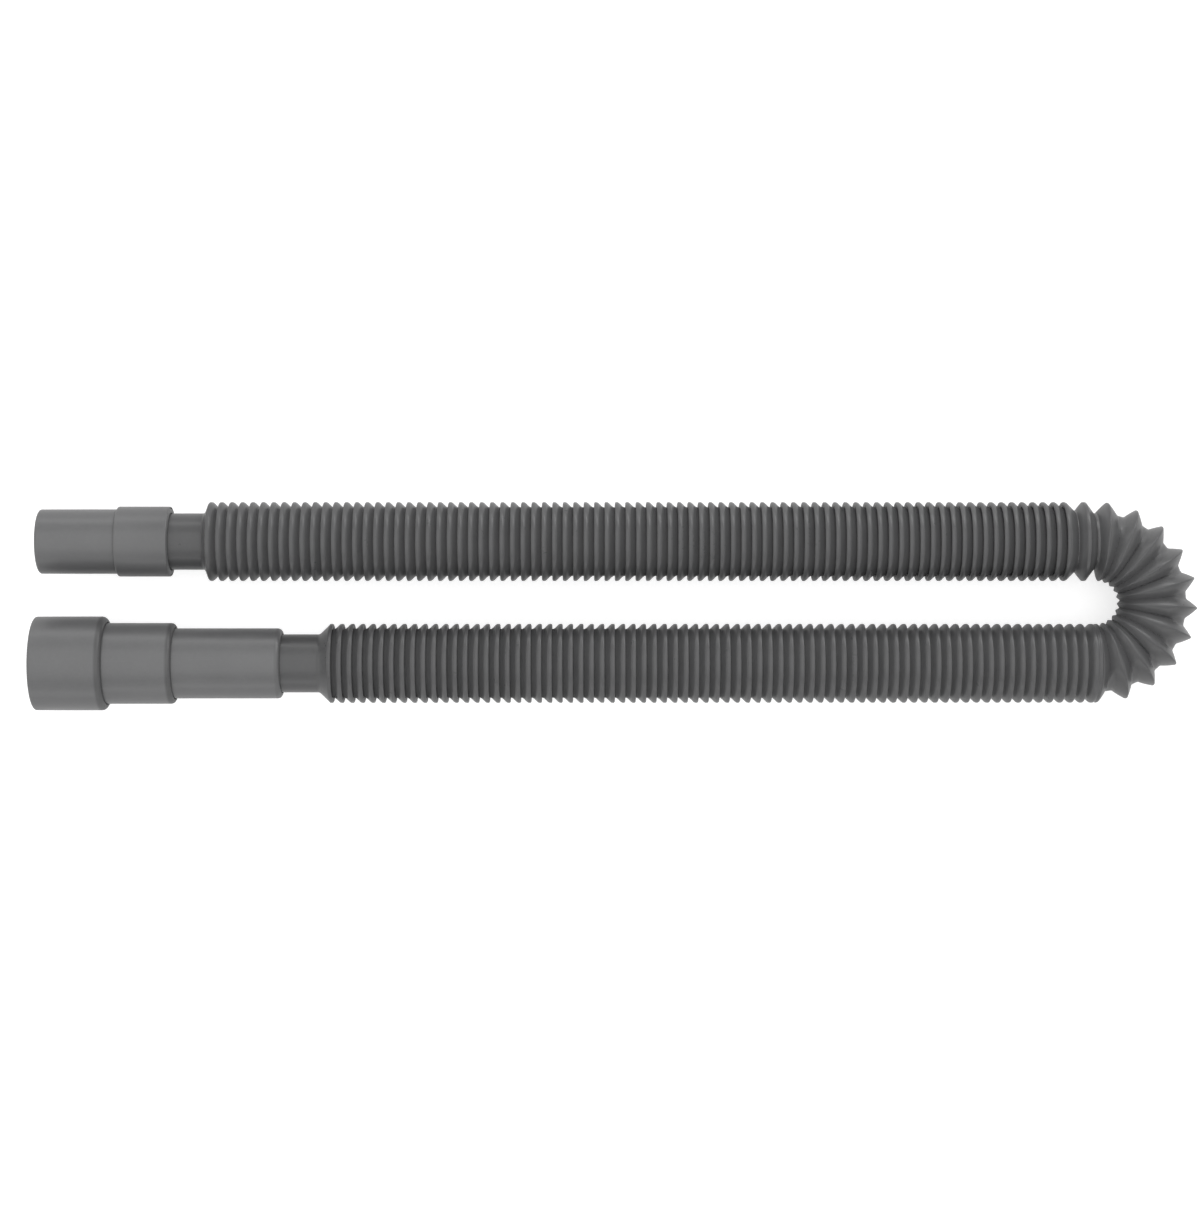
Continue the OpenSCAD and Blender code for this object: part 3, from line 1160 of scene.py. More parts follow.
def groove_corners(start: float, width: float, r: float, bottom: float) -> list[Corner]:
    """A seal's groove round the outside of a sleeve.

    Args:
        start: Where it begins.
        width: How wide it is.
        r: The sleeve's outer radius.
        bottom: The groove's own radius.

    Returns:
        The groove's line.
    """
    return [
        Corner(start, r, 0.15, 0.3),
        hidden(start, bottom, 0.15, 0.9),
        hidden(start + width, bottom, 0.15, 0.9),
        Corner(start + width, r, 0.15, 0.3),
    ]


def tip_corners(sizes: KitSizes, r: float, throat: float, end: float) -> list[Corner]:
    """The rubbed tip of a sleeve that is pushed into the next one.

    Args:
        r: The sleeve's outer radius.
        throat: Its bore at the tip.
        end: Where it ends.

    Returns:
        The tip's line, from the outside to the bore.
    """
    return [
        Corner(end - sizes.lead_in, r, 0.5, 0.5),
        Corner(end, r - sizes.lead_in / 2, 0.4, 0.7),
        Corner(end, throat, 0.4, 0.3, 0.4),
    ]


def ring_seal_corners(low: float, high: float, start: float, width: float,
                      lips_out: bool) -> list[Corner]:
    """A ring seal: two soft lips with a hollow between them on its sealing side.

    Args:
        low: Its inner radius.
        high: Its outer radius.
        start: Where it begins.
        width: How wide it is.
        lips_out: Whether the lips are on its outside.

    Returns:
        The closed outline.
    """
    dip = min(SEAL_DIP, (high - low) / 3)
    face, back, sign = (high, low, -1) if lips_out else (low, high, 1)
    near, far = SEAL_LIPS
    return [
        hidden(start, back, 0.15, 0.6),
        Corner(start, face, 0.35, 0.4),
        Corner(start + near * width, face, 0.3, 0.3),
        hidden(start + 0.5 * width, face + sign * dip, 0.3, 0.7),
        Corner(start + far * width, face, 0.3, 0.3),
        Corner(start + width, face, 0.35, 0.4),
        hidden(start + width, back, 0.15, 0.6),
    ]


@dataclass
class LargeCoupling:
    """The three stepped sleeves on the hose's large neck, with their seals.

    LIP_SHARES says how thick the lip is at its tip and at its root, and where the seat
    behind it begins, as shares of the groove's depth. LIP_SLIT is how far the tip and the
    root stay from the seal's ends, as a share of its width.
    """

    LIP_SHARES = (0.3, 0.55, 0.7)
    LIP_SLIT = 1 / 5

    sizes: KitSizes = SIZES
    axis: Axis = LOWER_AXIS

    def outer_socket(self) -> list[Corner]:
        """The wide socket: a filleted tube with a stop rib and a groove for the lip seal.

        Returns:
            The closed outline.
        """
        s = self.sizes
        bore, throat = s.middle_r + s.push_fit, s.inner_r + s.push_fit
        groove = s.mouth_r + s.lip_depth
        stop, lip_end = s.middle_end + s.stop_gap, s.lip_place + s.lip_width
        return [
            hidden(s.socket_start, bore + s.gap),
            hidden(s.socket_start, s.socket_r, s.socket_wall, 0.9),
            plain(s.socket_start + SHOULDER_REACH * s.socket_wall, s.socket_r),
            Corner(s.rim, s.socket_r, s.edge, 1.0),
            Corner(s.rim, s.mouth_r + s.lead_in, 0.4, 0.7),
            Corner(s.rim - s.lead_in, s.mouth_r, 0.4, 0.3, 0.2),
            hidden(lip_end, s.mouth_r, 0.1, 0.5),
            hidden(lip_end, groove, 0.1),
            hidden(s.lip_place, groove, 0.1),
            hidden(s.lip_place, s.mouth_r, 0.1, 0.6),
            hidden(stop + s.stop_rib, s.mouth_r, 0.4, 0.9),
            Corner(stop + s.stop_rib, throat, 0.5, 0.2, 0.8),
            hidden(stop, throat),
            hidden(stop, bore),
            hidden(s.socket_start + s.lead_in, bore, 0.4, 0.9),
        ]

    def middle_sleeve(self) -> list[Corner]:
        """The middle sleeve, with its own seal's groove and a stop for the inner sleeve.

        Returns:
            The closed outline.
        """
        s = self.sizes
        bore, throat = s.inner_r + s.push_fit, s.inner_r - s.stop_rib / 2
        groove, stop = s.middle_r - s.ring_depth, s.inner_end + s.stop_gap
        return [
            hidden(s.middle_start + s.lead_in, bore, 0.4, 0.9),
            hidden(s.middle_start, bore + s.gap),
            hidden(s.middle_start, s.middle_r, s.middle_wall, 0.9),
            plain(s.middle_start + SHOULDER_REACH * s.middle_wall, s.middle_r),
            *groove_corners(s.middle_groove, s.ring_width, s.middle_r, groove),
            *tip_corners(s, s.middle_r, throat, s.middle_end),
            hidden(stop, throat),
            hidden(stop, bore),
        ]

    def inner_sleeve(self) -> list[Corner]:
        """The inner sleeve, which snaps on the hose's large neck.

        Returns:
            The closed outline.
        """
        s = self.sizes
        throat, groove = s.large_neck_r - s.neck_wall, s.inner_r - s.ring_depth
        hollow = neck_socket_corners(s, s.large_neck_r, s.inner_start, s.neck_end)
        return [
            hidden(s.inner_start, s.inner_r, s.shoulder_round, 0.3),
            plain(s.inner_start + SHOULDER_REACH * s.shoulder_round, s.inner_r),
            *groove_corners(s.inner_groove, s.ring_width, s.inner_r, groove),
            *tip_corners(s, s.inner_r, throat, s.inner_end),
            hidden(s.neck_end + s.stop_gap, throat),
            *reversed(hollow),
        ]

    def lip_seal(self) -> list[Corner]:
        """The lip seal in the socket's mouth: a seat with a hinged lip.

        Returns:
            The closed outline.
        """
        s = self.sizes
        outside, end = s.mouth_r + s.lip_depth - s.seat_gap, s.lip_place + s.lip_width
        slit = s.lip_width * self.LIP_SLIT
        tip, root, seat = (s.mouth_r + s.lip_depth * share for share in self.LIP_SHARES)
        return [
            Corner(s.lip_place, s.mouth_r, 0.3, 0.3, 0.2),
            Corner(end - slit, s.mouth_r, 0.3, 0.4, 0.1),
            hidden(end - slit, tip, 0.25, 0.4),
            hidden(s.lip_place + slit, root, 0.12),
            hidden(s.lip_place + slit, seat, 0.12),
            hidden(end, seat, 0.12, 0.3),
            hidden(end, outside, 0.12, 0.6),
            hidden(s.lip_place, outside, 0.12),
        ]

    def pieces(self) -> list[TurnedPiece]:
        """Lists every piece of the coupling.

        Returns:
            The sleeves, then the seals, each not yet built.
        """
        s = self.sizes
        inner, middle, outer = Body.INNER_COUPLING, Body.MIDDLE_COUPLING, Body.OUTER_COUPLING
        neck_ring = ring_seal_corners(
            s.large_neck_r + s.seal_fit, s.large_neck_r + s.ring_depth - s.seat_gap,
            s.seal_place(s.inner_start), s.ring_width, False)
        inner_ring, middle_ring = (
            ring_seal_corners(r - s.ring_depth + s.seat_gap, r + s.push_fit - s.seal_fit, start,
                              s.ring_width, True)
            for r, start in ((s.inner_r, s.inner_groove), (s.middle_r, s.middle_groove)))
        sleeve, seal = Slot.FITTING, Slot.SEAL
        rows = (
            ("outer_socket_tube", "outer_socket", sleeve, self.outer_socket(), outer),
            ("middle_sleeve_tube", "middle_sleeve", sleeve, self.middle_sleeve(), middle),
            ("inner_sleeve_tube", "inner_sleeve", sleeve, self.inner_sleeve(), inner),
            ("inner_sleeve_ring", "inner_sleeve_seal", seal, neck_ring, inner),
            ("middle_sleeve_ring", "middle_sleeve_seal", seal, inner_ring, inner),
            ("outer_socket_ring", "outer_socket_seal", seal, middle_ring, middle),
            ("socket_mouth_lip", "socket_lip_seal", seal, self.lip_seal(), outer),
        )
        return [TurnedPiece(name, node, slot, self.axis, corners, body)
                for name, node, slot, corners, body in rows]


@dataclass
class SmallCoupling:
    """The plain spigot on the hose's small neck, with the collar round its root.

    The collar's rounded end takes up at most ROUND_SHARE of its wall, and the spigot has
    a ring RING_PAST beyond that end.
    """

    ROUND_SHARE = 0.9
    RING_PAST = 1.0

    sizes: KitSizes = SIZES
    axis: Axis = UPPER_AXIS

    def spigot(self) -> list[Corner]:
        """The spigot, with a raised seat and a flange for the collar.

        Returns:
            The closed outline.
        """
        s = self.sizes
        seat, flange = s.spigot_r + s.seat_rise, s.spigot_r + s.flange
        throat = s.small_neck_r - s.neck_wall
        hollow = neck_socket_corners(s, s.small_neck_r, s.spigot_start, s.small_neck_end)
        return [
            Corner(s.spigot_start, flange, s.edge),
            Corner(s.spigot_start + s.flange_width, flange, 0.1),
            hidden(s.spigot_start + s.flange_width, seat, 0.1),
            hidden(s.collar_end, seat, 0.1, 0.4),
            hidden(s.collar_end, s.spigot_r, 0.1, 0.4),
            plain(s.collar_end + self.RING_PAST, s.spigot_r),
            Corner(s.spigot_end, s.spigot_r, s.edge, 1.0),
            Corner(s.spigot_end, throat, 0.5, 0.5, 0.2),
            hidden(s.small_neck_end + s.stop_gap, throat),
            *reversed(hollow),
        ]

    def collar(self) -> list[Corner]:
        """The collar that covers the spigot's seat.

        Returns:
            The closed outline.
        """
        s = self.sizes
        start, step = s.spigot_start + s.gap, s.spigot_start + s.flange_width
        recess = s.spigot_r + s.flange + s.seat_gap
        end = min(s.edge, self.ROUND_SHARE * s.collar_wall)
        return [
            hidden(start, recess, 0.05, 0.5),
            hidden(step, recess, 0.1),
            hidden(step, s.collar_bore, 0.1),
            hidden(s.collar_end, s.collar_bore, 0.05, 0.5),
            Corner(s.collar_end, s.collar_r, end, 0.8),
            hidden(start, s.collar_r, 0.8, 0.2),
        ]

    def pieces(self) -> list[TurnedPiece]:
        """Lists every piece of the coupling.

        Returns:
            The spigot, its collar and its seal, each not yet built.
        """
        s = self.sizes
        body, sleeve, seal = Body.SMALL_COUPLING, Slot.FITTING, Slot.SEAL
        ring = ring_seal_corners(
            s.small_neck_r + s.seal_fit, s.small_neck_r + s.ring_depth - s.seat_gap,
            s.seal_place(s.spigot_start), s.ring_width, False)
        return [
            TurnedPiece("spigot_tube", "small_spigot", sleeve, self.axis, self.spigot(), body),
            TurnedPiece("spigot_collar", "small_collar", sleeve, self.axis, self.collar(), body),
            TurnedPiece("spigot_ring", "small_seal", seal, self.axis, ring, body),
        ]


def set_shares(piece: bpy.types.Object, shares: np.ndarray, sides: int) -> None:
    """Sets how far each ring of a blended piece follows its second body.

    Args:
        piece: The piece's object, already blended.
        shares: Each ring's share, kept between 0 and 1.
        sides: How many points a ring has.
    """
    layer = piece.data.attributes["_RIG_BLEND"]
    values = np.repeat(np.clip(shares, 0.0, 1.0), sides)
    layer.data.foreach_set("value", values.astype(np.float32))


@dataclass
class PleatShape:
    """The section of one shut pleat, whose deep fold is tucked under the crest before it.

    Its points are counted from its own crest, and its fold from the crest before. The rows
    of FLANK and CREST say how far back from the crest's end a point lies, how far below
    the crest's top, how worn it is and how sheltered. UNDER is where the fold's steep side
    begins: how far behind the crest before, and how far above the groove. In walls,
    FOLD_INSIDE says how far along and how far in the fold's two inner points lie from its
    root, GROOVE_INSIDE how far along the groove's one lies, and CREST_INSIDE how thick a
    crest is.
    """

    FLANK = ((5.55, 3.12, 0.0, 0.5), (4.65, 2.5, 0.0, 0.3), (3.6, 1.45, 0.0, 0.1),
             (2.75, 0.6, 0.0, 0.0))
    CREST = ((2.05, 0.14, 0.4, 0.0), (1.25, 0.0, 0.9, 0.0), (0.6, 0.05, 1.0, 0.0),
             (0.18, 0.3, 0.7, 0.0), (0.0, 0.8, 0.2, 0.3))
    UNDER = (0.35, 0.6)
    FOLD_INSIDE = ((-0.8, 0.55), (0.65, 0.9))
    GROOVE_INSIDE = 0.55
    CREST_INSIDE = 1.3

    sizes: KitSizes = SIZES

    def outside(self, crest: float, first: bool, moves: tuple[float, float, float]) -> list[Corner]:
        """The outside of a pleat.

        Args:
            crest: Where its crest ends.
            first: Whether nothing comes before it, so that it has no fold.
            moves: How far the crest before, the fold and this crest move.

        Returns:
            The points up to the crest's underside.
        """
        s = self.sizes
        before, fold, own = moves
        start, top = crest - s.shut_pitch, s.crest_r
        deep, low = top - s.root_r, top - s.groove_depth
        points: list[Corner] = []
        rows = self.CREST
        if not first:
            back, rise = self.UNDER
            half = (s.groove_depth - rise) / deep
            points = [
                plain(start - back, low + rise, 1.0, before + (fold - before) * half),
                plain(start - s.lean, s.root_r, 1.0, fold),
            ]
            rows = ((s.shut_pitch, s.groove_depth, 0.0, 0.8), *self.FLANK, *self.CREST)
        for back, drop, wear, shelter in rows:
            share = min(1.0, max(0.0, (top - drop - s.root_r) / deep))
            moved = fold + (own - fold) * share
            points.append(Corner(crest - back, top - drop, 0.0, wear, shelter, moved))
        return points

    def inside(self, crest: float, first: bool, moves: tuple[float, float, float]) -> list[Corner]:
        """The inside of the same pleat, about one wall further in.

        Args:
            crest: Where its crest ends.
            first: Whether nothing comes before it, so that it has no fold.
            moves: How far the crest before, the fold and this crest move.

        Returns:
            The points from the fold to the crest.
        """
        s = self.sizes
        _, fold, own = moves
        start, wall = crest - s.shut_pitch, s.hose_wall
        points: list[Corner] = []
        if not first:
            along = self.GROOVE_INSIDE
            points = [plain(start - s.lean + past * wall, s.root_r - deep * wall, 0.8, fold)
                      for past, deep in self.FOLD_INSIDE]
            points.append(plain(start + along * wall, s.crest_r - s.groove_depth - wall, 0.9,
                                fold + along * (own - fold)))
        points.append(plain(crest - s.crest_land, s.crest_r - self.CREST_INSIDE * wall, 1.0, own))
        return points


@dataclass
class PleatedRun(Piece):
    """A straight run of shut pleats that opens when its coupling is pulled away.

    Its faces are smooth up to SMOOTH degrees, and its middle is told in STEPS steps.
    """

    SMOOTH = 60.0
    STEPS = 32

    axis: Axis
    anchor: Body
    pulled: Body
    pleats: int
    sizes: KitSizes = SIZES
    sides: int = RUN_SIDES

    @property
    def span(self) -> tuple[float, float]:
        """Where the run begins and ends along its axis. Each kind of run has its own."""
        raise NotImplementedError

    def moves(self, k: int) -> tuple[float, float, float]:
        """How far the crest before number k, the fold between them and crest k itself move."""
        raise NotImplementedError

    def points(self) -> list[Corner]:
        """The run's closed outline."""
        raise NotImplementedError

    @property
    def travel(self) -> float:
        """How far the run's end moves when every pleat is open."""
        return (self.pleats - 1) * self.sizes.open_gain

    def folded(self, first: float) -> tuple[list[Corner], list[Corner]]:
        """Lays out the shut pleats, from the first crest on.

        Args:
            first: Where the first crest ends.

        Returns:
            The points of their outside, and those of their inside on the way back.
        """
        shape = PleatShape(self.sizes)
        outside: list[Corner] = []
        inside: list[Corner] = []
        for k in range(self.pleats):
            crest, moves = first + k * self.sizes.shut_pitch, self.moves(k)
            outside += shape.outside(crest, k == 0, moves)
            inside += shape.inside(crest, k == 0, moves)
        return outside, inside[::-1]

    def build(self, palette: Palette) -> bpy.types.Object:
        """Makes and dresses the run, and ties each ring to how far it moves.

        Args:
            palette: The finishes.

        Returns:
            The finished object.
        """
        outline = Outline.of(self.points())
        turn = full_turn(self.sides)
        rings = self.axis.rings(outline.along, outline.radius, turn)
        piece = RingMesh(self.name, rings, outline.wear, outline.shelter, turn).build(self.SMOOTH)
        self.dress(piece, palette)
        start, end = (self.axis.point(along) for along in self.span)
        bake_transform(piece, self.anchor.value, self.pulled.value, start, end)
        set_shares(piece, outline.moved / self.travel, self.sides)
        return piece

    def centres(self) -> list[tuple[float, float, float]]:
        """Follows the run's middle.

        Returns:
            Points from its beginning to its end, in metres.
        """
        start, end = self.span
        length = end - start
        return [self.axis.point(start + length * i / self.STEPS) for i in range(self.STEPS + 1)]


@dataclass
class LowerRun(PleatedRun):
    """The run from the bend to the large neck. Its outline is laid out from the neck.

    The rows of CONE say how far along a point lies and how far above the neck, how worn
    it is and how sheltered. Those of LAST say how far it is from the bend and how far
    below the crests, for the crest that the bend begins on. They take the place of the
    LAST_GONE last points of its pleat.
    """

    CONE = ((0.0, 0.0, 0.0, 0.0), (0.7, 0.12, 0.0, 0.1), (1.9, 1.0, 0.0, 0.2),
            (3.7, 2.75, 0.0, 0.1), (5.6, 4.6, 0.0, 0.0), (6.7, 5.7, 0.1, 0.0))
    LAST = ((3.5, 0.0, 0.8, 0.0), (2.7, 0.06, 0.6, 0.0), (2.1, 0.5, 0.0, 0.2),
            (1.6, 0.55, 0.0, 0.2), (1.0, 0.12, 0.4, 0.0), (0.5, 0.04, 0.7, 0.0),
            (0.0, 0.25, 0.7, 0.0))
    LAST_GONE = 4

    @property
    def span(self) -> tuple[float, float]:
        """Where the run begins and ends along its axis."""
        return 0.0, self.sizes.lower_length

    def moves(self, k: int) -> tuple[float, float, float]:
        """Works out how far the parts of a pleat move.

        Args:
            k: The pleat's number, from 0 at the neck.

        Returns:
            How far the crest before it, its fold and its own crest move.
        """
        s = self.sizes
        own = (self.pleats - 1 - k) * s.open_gain
        before = own + s.open_gain
        return before, max(0.0, before - s.lean - s.open_short), own

    def points(self) -> list[Corner]:
        """The run's closed outline, whose last crest is left open for the bend.

        Returns:
            The outline, along the lower run's line.
        """
        s = self.sizes
        full, end, foot, head = self.travel, s.lower_length, s.large_neck_r, s.crest_r
        outside, inside = self.folded(s.flare_length)
        cone = [Corner(along, foot + over, 0.0, worn, dim, full)
                for along, over, worn, dim in self.CONE]
        last = [Corner(end - back, head - drop, 0.0, worn, dim)
                for back, drop, worn, dim in self.LAST]
        last.append(plain(end, head - s.hose_wall - self.LAST[-1][1], 1.0))
        way_round = (*cone, *outside[:-self.LAST_GONE], *last, *inside,
                     plain(0.0, foot - s.neck_wall, 1.0, full))
        return [replace(c, along=end - c.along) for c in way_round]


@dataclass
class UpperRun(PleatedRun):
    """The run from the bend to the small neck, with one straight open pleat beside the bend.

    The rows of CONE say how far past the last crest a point lies and how far above the
    neck, and how sheltered it is. OPEN_FOOT is how much shallower the valley is between
    the open pleat and the first shut one, and OPEN_END is where that valley's far flank
    ends: how far back from the shut crest's end, and how far below its top. OPEN_FLATS
    says how much of their half width the valleys beside the open crest keep flat, and
    CREST_INSET how far its roundings begin inside it. LAST_END is where the last crest
    turns into the cone: how far past its end, and how far below its top.
    """

    CONE = ((0.75, 4.4, 0.1), (1.7, 2.1, 0.2), (2.6, 0.65, 0.2), (3.15, 0.15, 0.1))
    OPEN_FOOT = 1.4
    OPEN_END = (2.9, 0.72)
    OPEN_FLATS = (0.5, 0.3)
    CREST_INSET = 0.1
    LAST_END = (0.1, 0.7)

    @property
    def span(self) -> tuple[float, float]:
        """Where the run begins and ends along its axis."""
        return self.sizes.upper_start, self.sizes.upper_length

    @property
    def open_crest(self) -> tuple[float, float]:
        """Where the open pleat's crest begins and ends."""
        start = self.sizes.upper_start + self.sizes.open_long
        return start, start + self.sizes.open_crest

    def moves(self, k: int) -> tuple[float, float, float]:
        """Works out how far the parts of a pleat move.

        Args:
            k: The pleat's number, from 0 at the bend.

        Returns:
            How far the crest before it, its fold and its own crest move.
        """
        s = self.sizes
        own = k * s.open_gain
        before = own - s.open_gain
        return before, before + s.lean + s.open_short, own

    def open_pleat(self) -> list[Corner]:
        """The outside of the open pleat, from the bend to the first shut crest's flank.

        Returns:
            Its points.
        """
        s = self.sizes
        start, half = s.upper_start, s.open_root / 2
        crest_from, crest_to = self.open_crest
        near, far = self.OPEN_FLATS
        rise, fall = start + near * half, s.upper_root - far * half
        middle, foot = (s.crest_r + s.root_r) / 2, s.root_r + self.OPEN_FOOT
        back, drop = self.OPEN_END
        corners = [
            plain(start, s.root_r),
            hidden(rise, s.root_r, 0.6, 0.1),
            plain((rise + crest_from) / 2, middle, 0.9),
            Corner(crest_from + self.CREST_INSET, s.crest_r, 0.9, 0.6),
            Corner(crest_to - self.CREST_INSET, s.crest_r, 0.9, 0.6),
            plain((crest_to + fall) / 2, middle + self.OPEN_FOOT / 2, 0.9),
            hidden(fall, foot, 0.6, 0.1),
            hidden(s.upper_root, foot, 0.6, 0.1),
            hidden(s.upper_first - back, s.crest_r - drop, 0.8, 0.4),
        ]
        return Softener(step_deg=18, longest=2.2, border=0.5).soften(corners, closed=False)

    def points(self) -> list[Corner]:
        """The run's closed outline.

        Returns:
            The outline, along the upper run's line.
        """
        s = self.sizes
        full, wall, end, foot = self.travel, s.hose_wall, s.upper_length, s.small_neck_r
        outside, inside = self.folded(s.upper_first)
        last = s.upper_first + (self.pleats - 1) * s.shut_pitch
        beyond, drop = self.LAST_END
        reach, low, top = (s.open_root + wall) / 2, s.root_r - wall, s.crest_r - wall
        crest_from, crest_to = self.open_crest
        return [
            *self.open_pleat(),
            *outside[:-1],
            Corner(last + beyond, s.crest_r - drop, 0.0, 0.2, 0.0, full),
            *(plain(last + past, foot + over, dim, full) for past, over, dim in self.CONE),
            plain(end, foot, 0.0, full),
            plain(end, foot - s.neck_wall, 1.0, full),
            *inside,
            plain(s.upper_root + wall / 2, low, 0.8),
            plain(s.upper_root - reach, low, 0.8),
            plain(crest_to - wall / 2, top, 1.0),
            plain(crest_from + wall / 2, top, 1.0),
            plain(s.upper_start + reach, low, 0.8),
            plain(s.upper_start, low, 0.8),
        ]


@dataclass
class BendSection(Piece):
    """A section of the bend with two open pleats, squeezed together on the inside of the U.

    Its faces are smooth up to SMOOTH degrees. ROUND is how round the waves on the bend's
    top are. They take over from the deep folds where the cosine of a point's angle falls
    below WAVES_FROM, and fully WAVES_OVER lower. DEPTHS holds the folds' depth: level, by
    that cosine, and less by its square. The last pleat turns as deep all round from
    STRAIGHT_FROM degrees on, over STRAIGHT_OVER, and what lies past COVERED is in the next
    piece's shade. The rows of START say how many degrees past the lower run a point of the
    first flank lies, how far below the crests and how worn. VALLEY says how much of its
    half width a valley's flat keeps and how round it is, and LAST_VALLEY the same for the
    bend's last. TIP_SHARE is how much of a crest's half width is flat outside, and
    INNER_TIP how many degrees inside.
    """

    SMOOTH = 50.0
    ROUND = 0.03
    WAVES_FROM, WAVES_OVER = 0.85, 0.75
    DEPTHS = (0.7, 0.375, 0.075)
    STRAIGHT_FROM, STRAIGHT_OVER = 83.0, 5.0
    COVERED, COVERED_SHADE = 85.5, 0.9
    SQUEEZED_WEAR, SQUEEZED_SHADE = 0.8, 0.6
    START = ((0.0, 0.25, 0.7), (0.7, 0.9, 0.2))
    VALLEY, LAST_VALLEY = (1.0, 1.3), (0.55, 0.7)
    TIP_SHARE, INNER_TIP = 0.6, 0.25

    number: int
    sizes: KitSizes = SIZES
    sides: int = NECK_SIDES

    @property
    def first(self) -> float:
        """The section's first root, in degrees round the bend."""
        s = self.sizes
        return s.first_root + (self.number - 1) * s.section_pleats * s.bend_pleat

    @property
    def limits(self) -> tuple[float, float]:
        """Where the section begins and ends, in degrees round the bend."""
        start = -90.0 if self.number == 1 else self.first
        return start, self.first + self.sizes.section_pleats * self.sizes.bend_pleat

    def outline(self, wall: float) -> list[Corner]:
        """The section's line along the bend, in degrees, one wall further in or not.

        Args:
            wall: How far inside the skin it runs.

        Returns:
            Its points, with along in degrees.
        """
        s = self.sizes
        per_degree = math.radians(s.bend_radius)
        half = (s.open_root + wall) / 2 / per_degree
        top, low, first = s.crest_r - PleatShape.CREST_INSIDE * wall, s.root_r - wall, self.first
        tip = self.TIP_SHARE * s.crest_half if wall == 0 else self.INNER_TIP
        corners = [plain(first, low, 0.3)]
        if self.number == 1:
            start = [Corner(-90 + past, s.crest_r - drop - wall, 0.0, worn)
                     for past, drop, worn in self.START]
            corners = [*start, hidden(first - half, low, self.VALLEY[1], 0.3), *corners]
        for k in range(s.section_pleats):
            root = first + k * s.bend_pleat
            crest, after = root + s.long_share * s.bend_pleat, root + s.bend_pleat
            ends = wall == 0 and self.number == s.sections and k == s.section_pleats - 1
            width, soft = self.LAST_VALLEY if ends else self.VALLEY
            corners += [
                hidden(root + half, low, self.VALLEY[1], 0.3),
                Corner(crest - tip, top, 0.4, 0.2),
                Corner(crest + tip, top, 0.4, 0.2),
                hidden(after - width * half, low, soft, 0.3),
                plain(after, low, 0.3),
            ]
        flat = [replace(c, along=c.along * per_degree) for c in corners]
        skin = Softener(step_deg=18, longest=1.9, border=0.45)
        lining = Softener(step_deg=40, longest=4.0, border=2.0)
        softened = (skin if wall == 0 else lining).soften(flat, closed=False)
        return [replace(c, along=c.along / per_degree, soft=0.0) for c in softened]

    def sunk(self, angle: np.ndarray, share: np.ndarray, turn: np.ndarray) -> np.ndarray:
        """How far the skin lies below the crests, as a share of the full depth.

        The folds are deep and wide on the outside of the bend, soft waves on its top, and
        shallow on the inside, where they are squeezed together.

        Args:
            angle: Each ring's place round the bend, in degrees.
            share: Each ring's own share, from its outline.
            turn: The angles of a ring's points.

        Returns:
            The share for each point.
        """
        s = self.sizes
        pleat = (angle - s.first_root) / s.bend_pleat
        local = pleat - np.floor(pleat)
        away = np.where(local < s.long_share, 1 - local / s.long_share,
                        (local - s.long_share) / (1 - s.long_share))
        away = np.where(angle < s.first_root, (angle + 90) / s.first_flank, away)
        least, most = math.sqrt(self.ROUND), math.sqrt(1 + self.ROUND)
        wave = (np.sqrt(away * away + self.ROUND) - least) / (most - least)
        out = np.cos(turn)
        soft = np.clip((self.WAVES_FROM - out) / self.WAVES_OVER, 0, 1)
        soft = soft * soft * (3 - 2 * soft)
        straight = np.clip((angle - self.STRAIGHT_FROM) / self.STRAIGHT_OVER, 0, 1)[:, None]
        soft = soft[None] * (1 - straight)
        level, slope, curve = self.DEPTHS
        deep = (level + slope * out - curve * out * out)[None] * (1 - straight) + straight
        return deep * (share[:, None] * (1 - soft) + wave[:, None] * soft)

    def rings(self, corners: Sequence[Corner], wall: float, turn: np.ndarray) -> np.ndarray:
        """Places the rings of a line round the bend.

        Args:
            corners: The line's points, with along in degrees.
            wall: How far inside the skin it runs.
            turn: The angles of a ring's points.

        Returns:
            The points in metres, by ring and by angle.
        """
        s = self.sizes
        angle = np.array([c.along for c in corners])
        radius = np.array([c.radius for c in corners])
        top, low = s.crest_r - PleatShape.CREST_INSIDE * wall, s.root_r - wall
        r = top - (top - low) * self.sunk(angle, (top - radius) / (top - low), turn)
        arc = np.radians(np.minimum(angle, 90))
        past = np.maximum(angle - 90, 0) * math.radians(s.bend_radius)
        levelled = s.first_flank + s.section_pleats * s.bend_pleat
        lean = s.tilt * np.clip(1 - (angle + 90) / levelled, 0, 1)
        none, x, y = np.zeros_like(arc), *s.bend_centre
        side = np.stack([np.cos(arc), np.sin(arc), none], -1)
        forward = np.stack([-np.sin(arc), np.cos(arc), none], -1)
        rise = np.stack([none, none, np.cos(lean)], -1) + forward * np.sin(lean)[:, None]
        middle = np.array([x, y, s.crest_r]) + s.bend_radius * side + past[:, None] * forward
        outward, upward = (f(turn)[None, :, None] for f in (np.cos, np.sin))
        out = outward * side[:, None] + upward * rise[:, None]
        return (middle[:, None] + r[:, :, None] * out) * MM

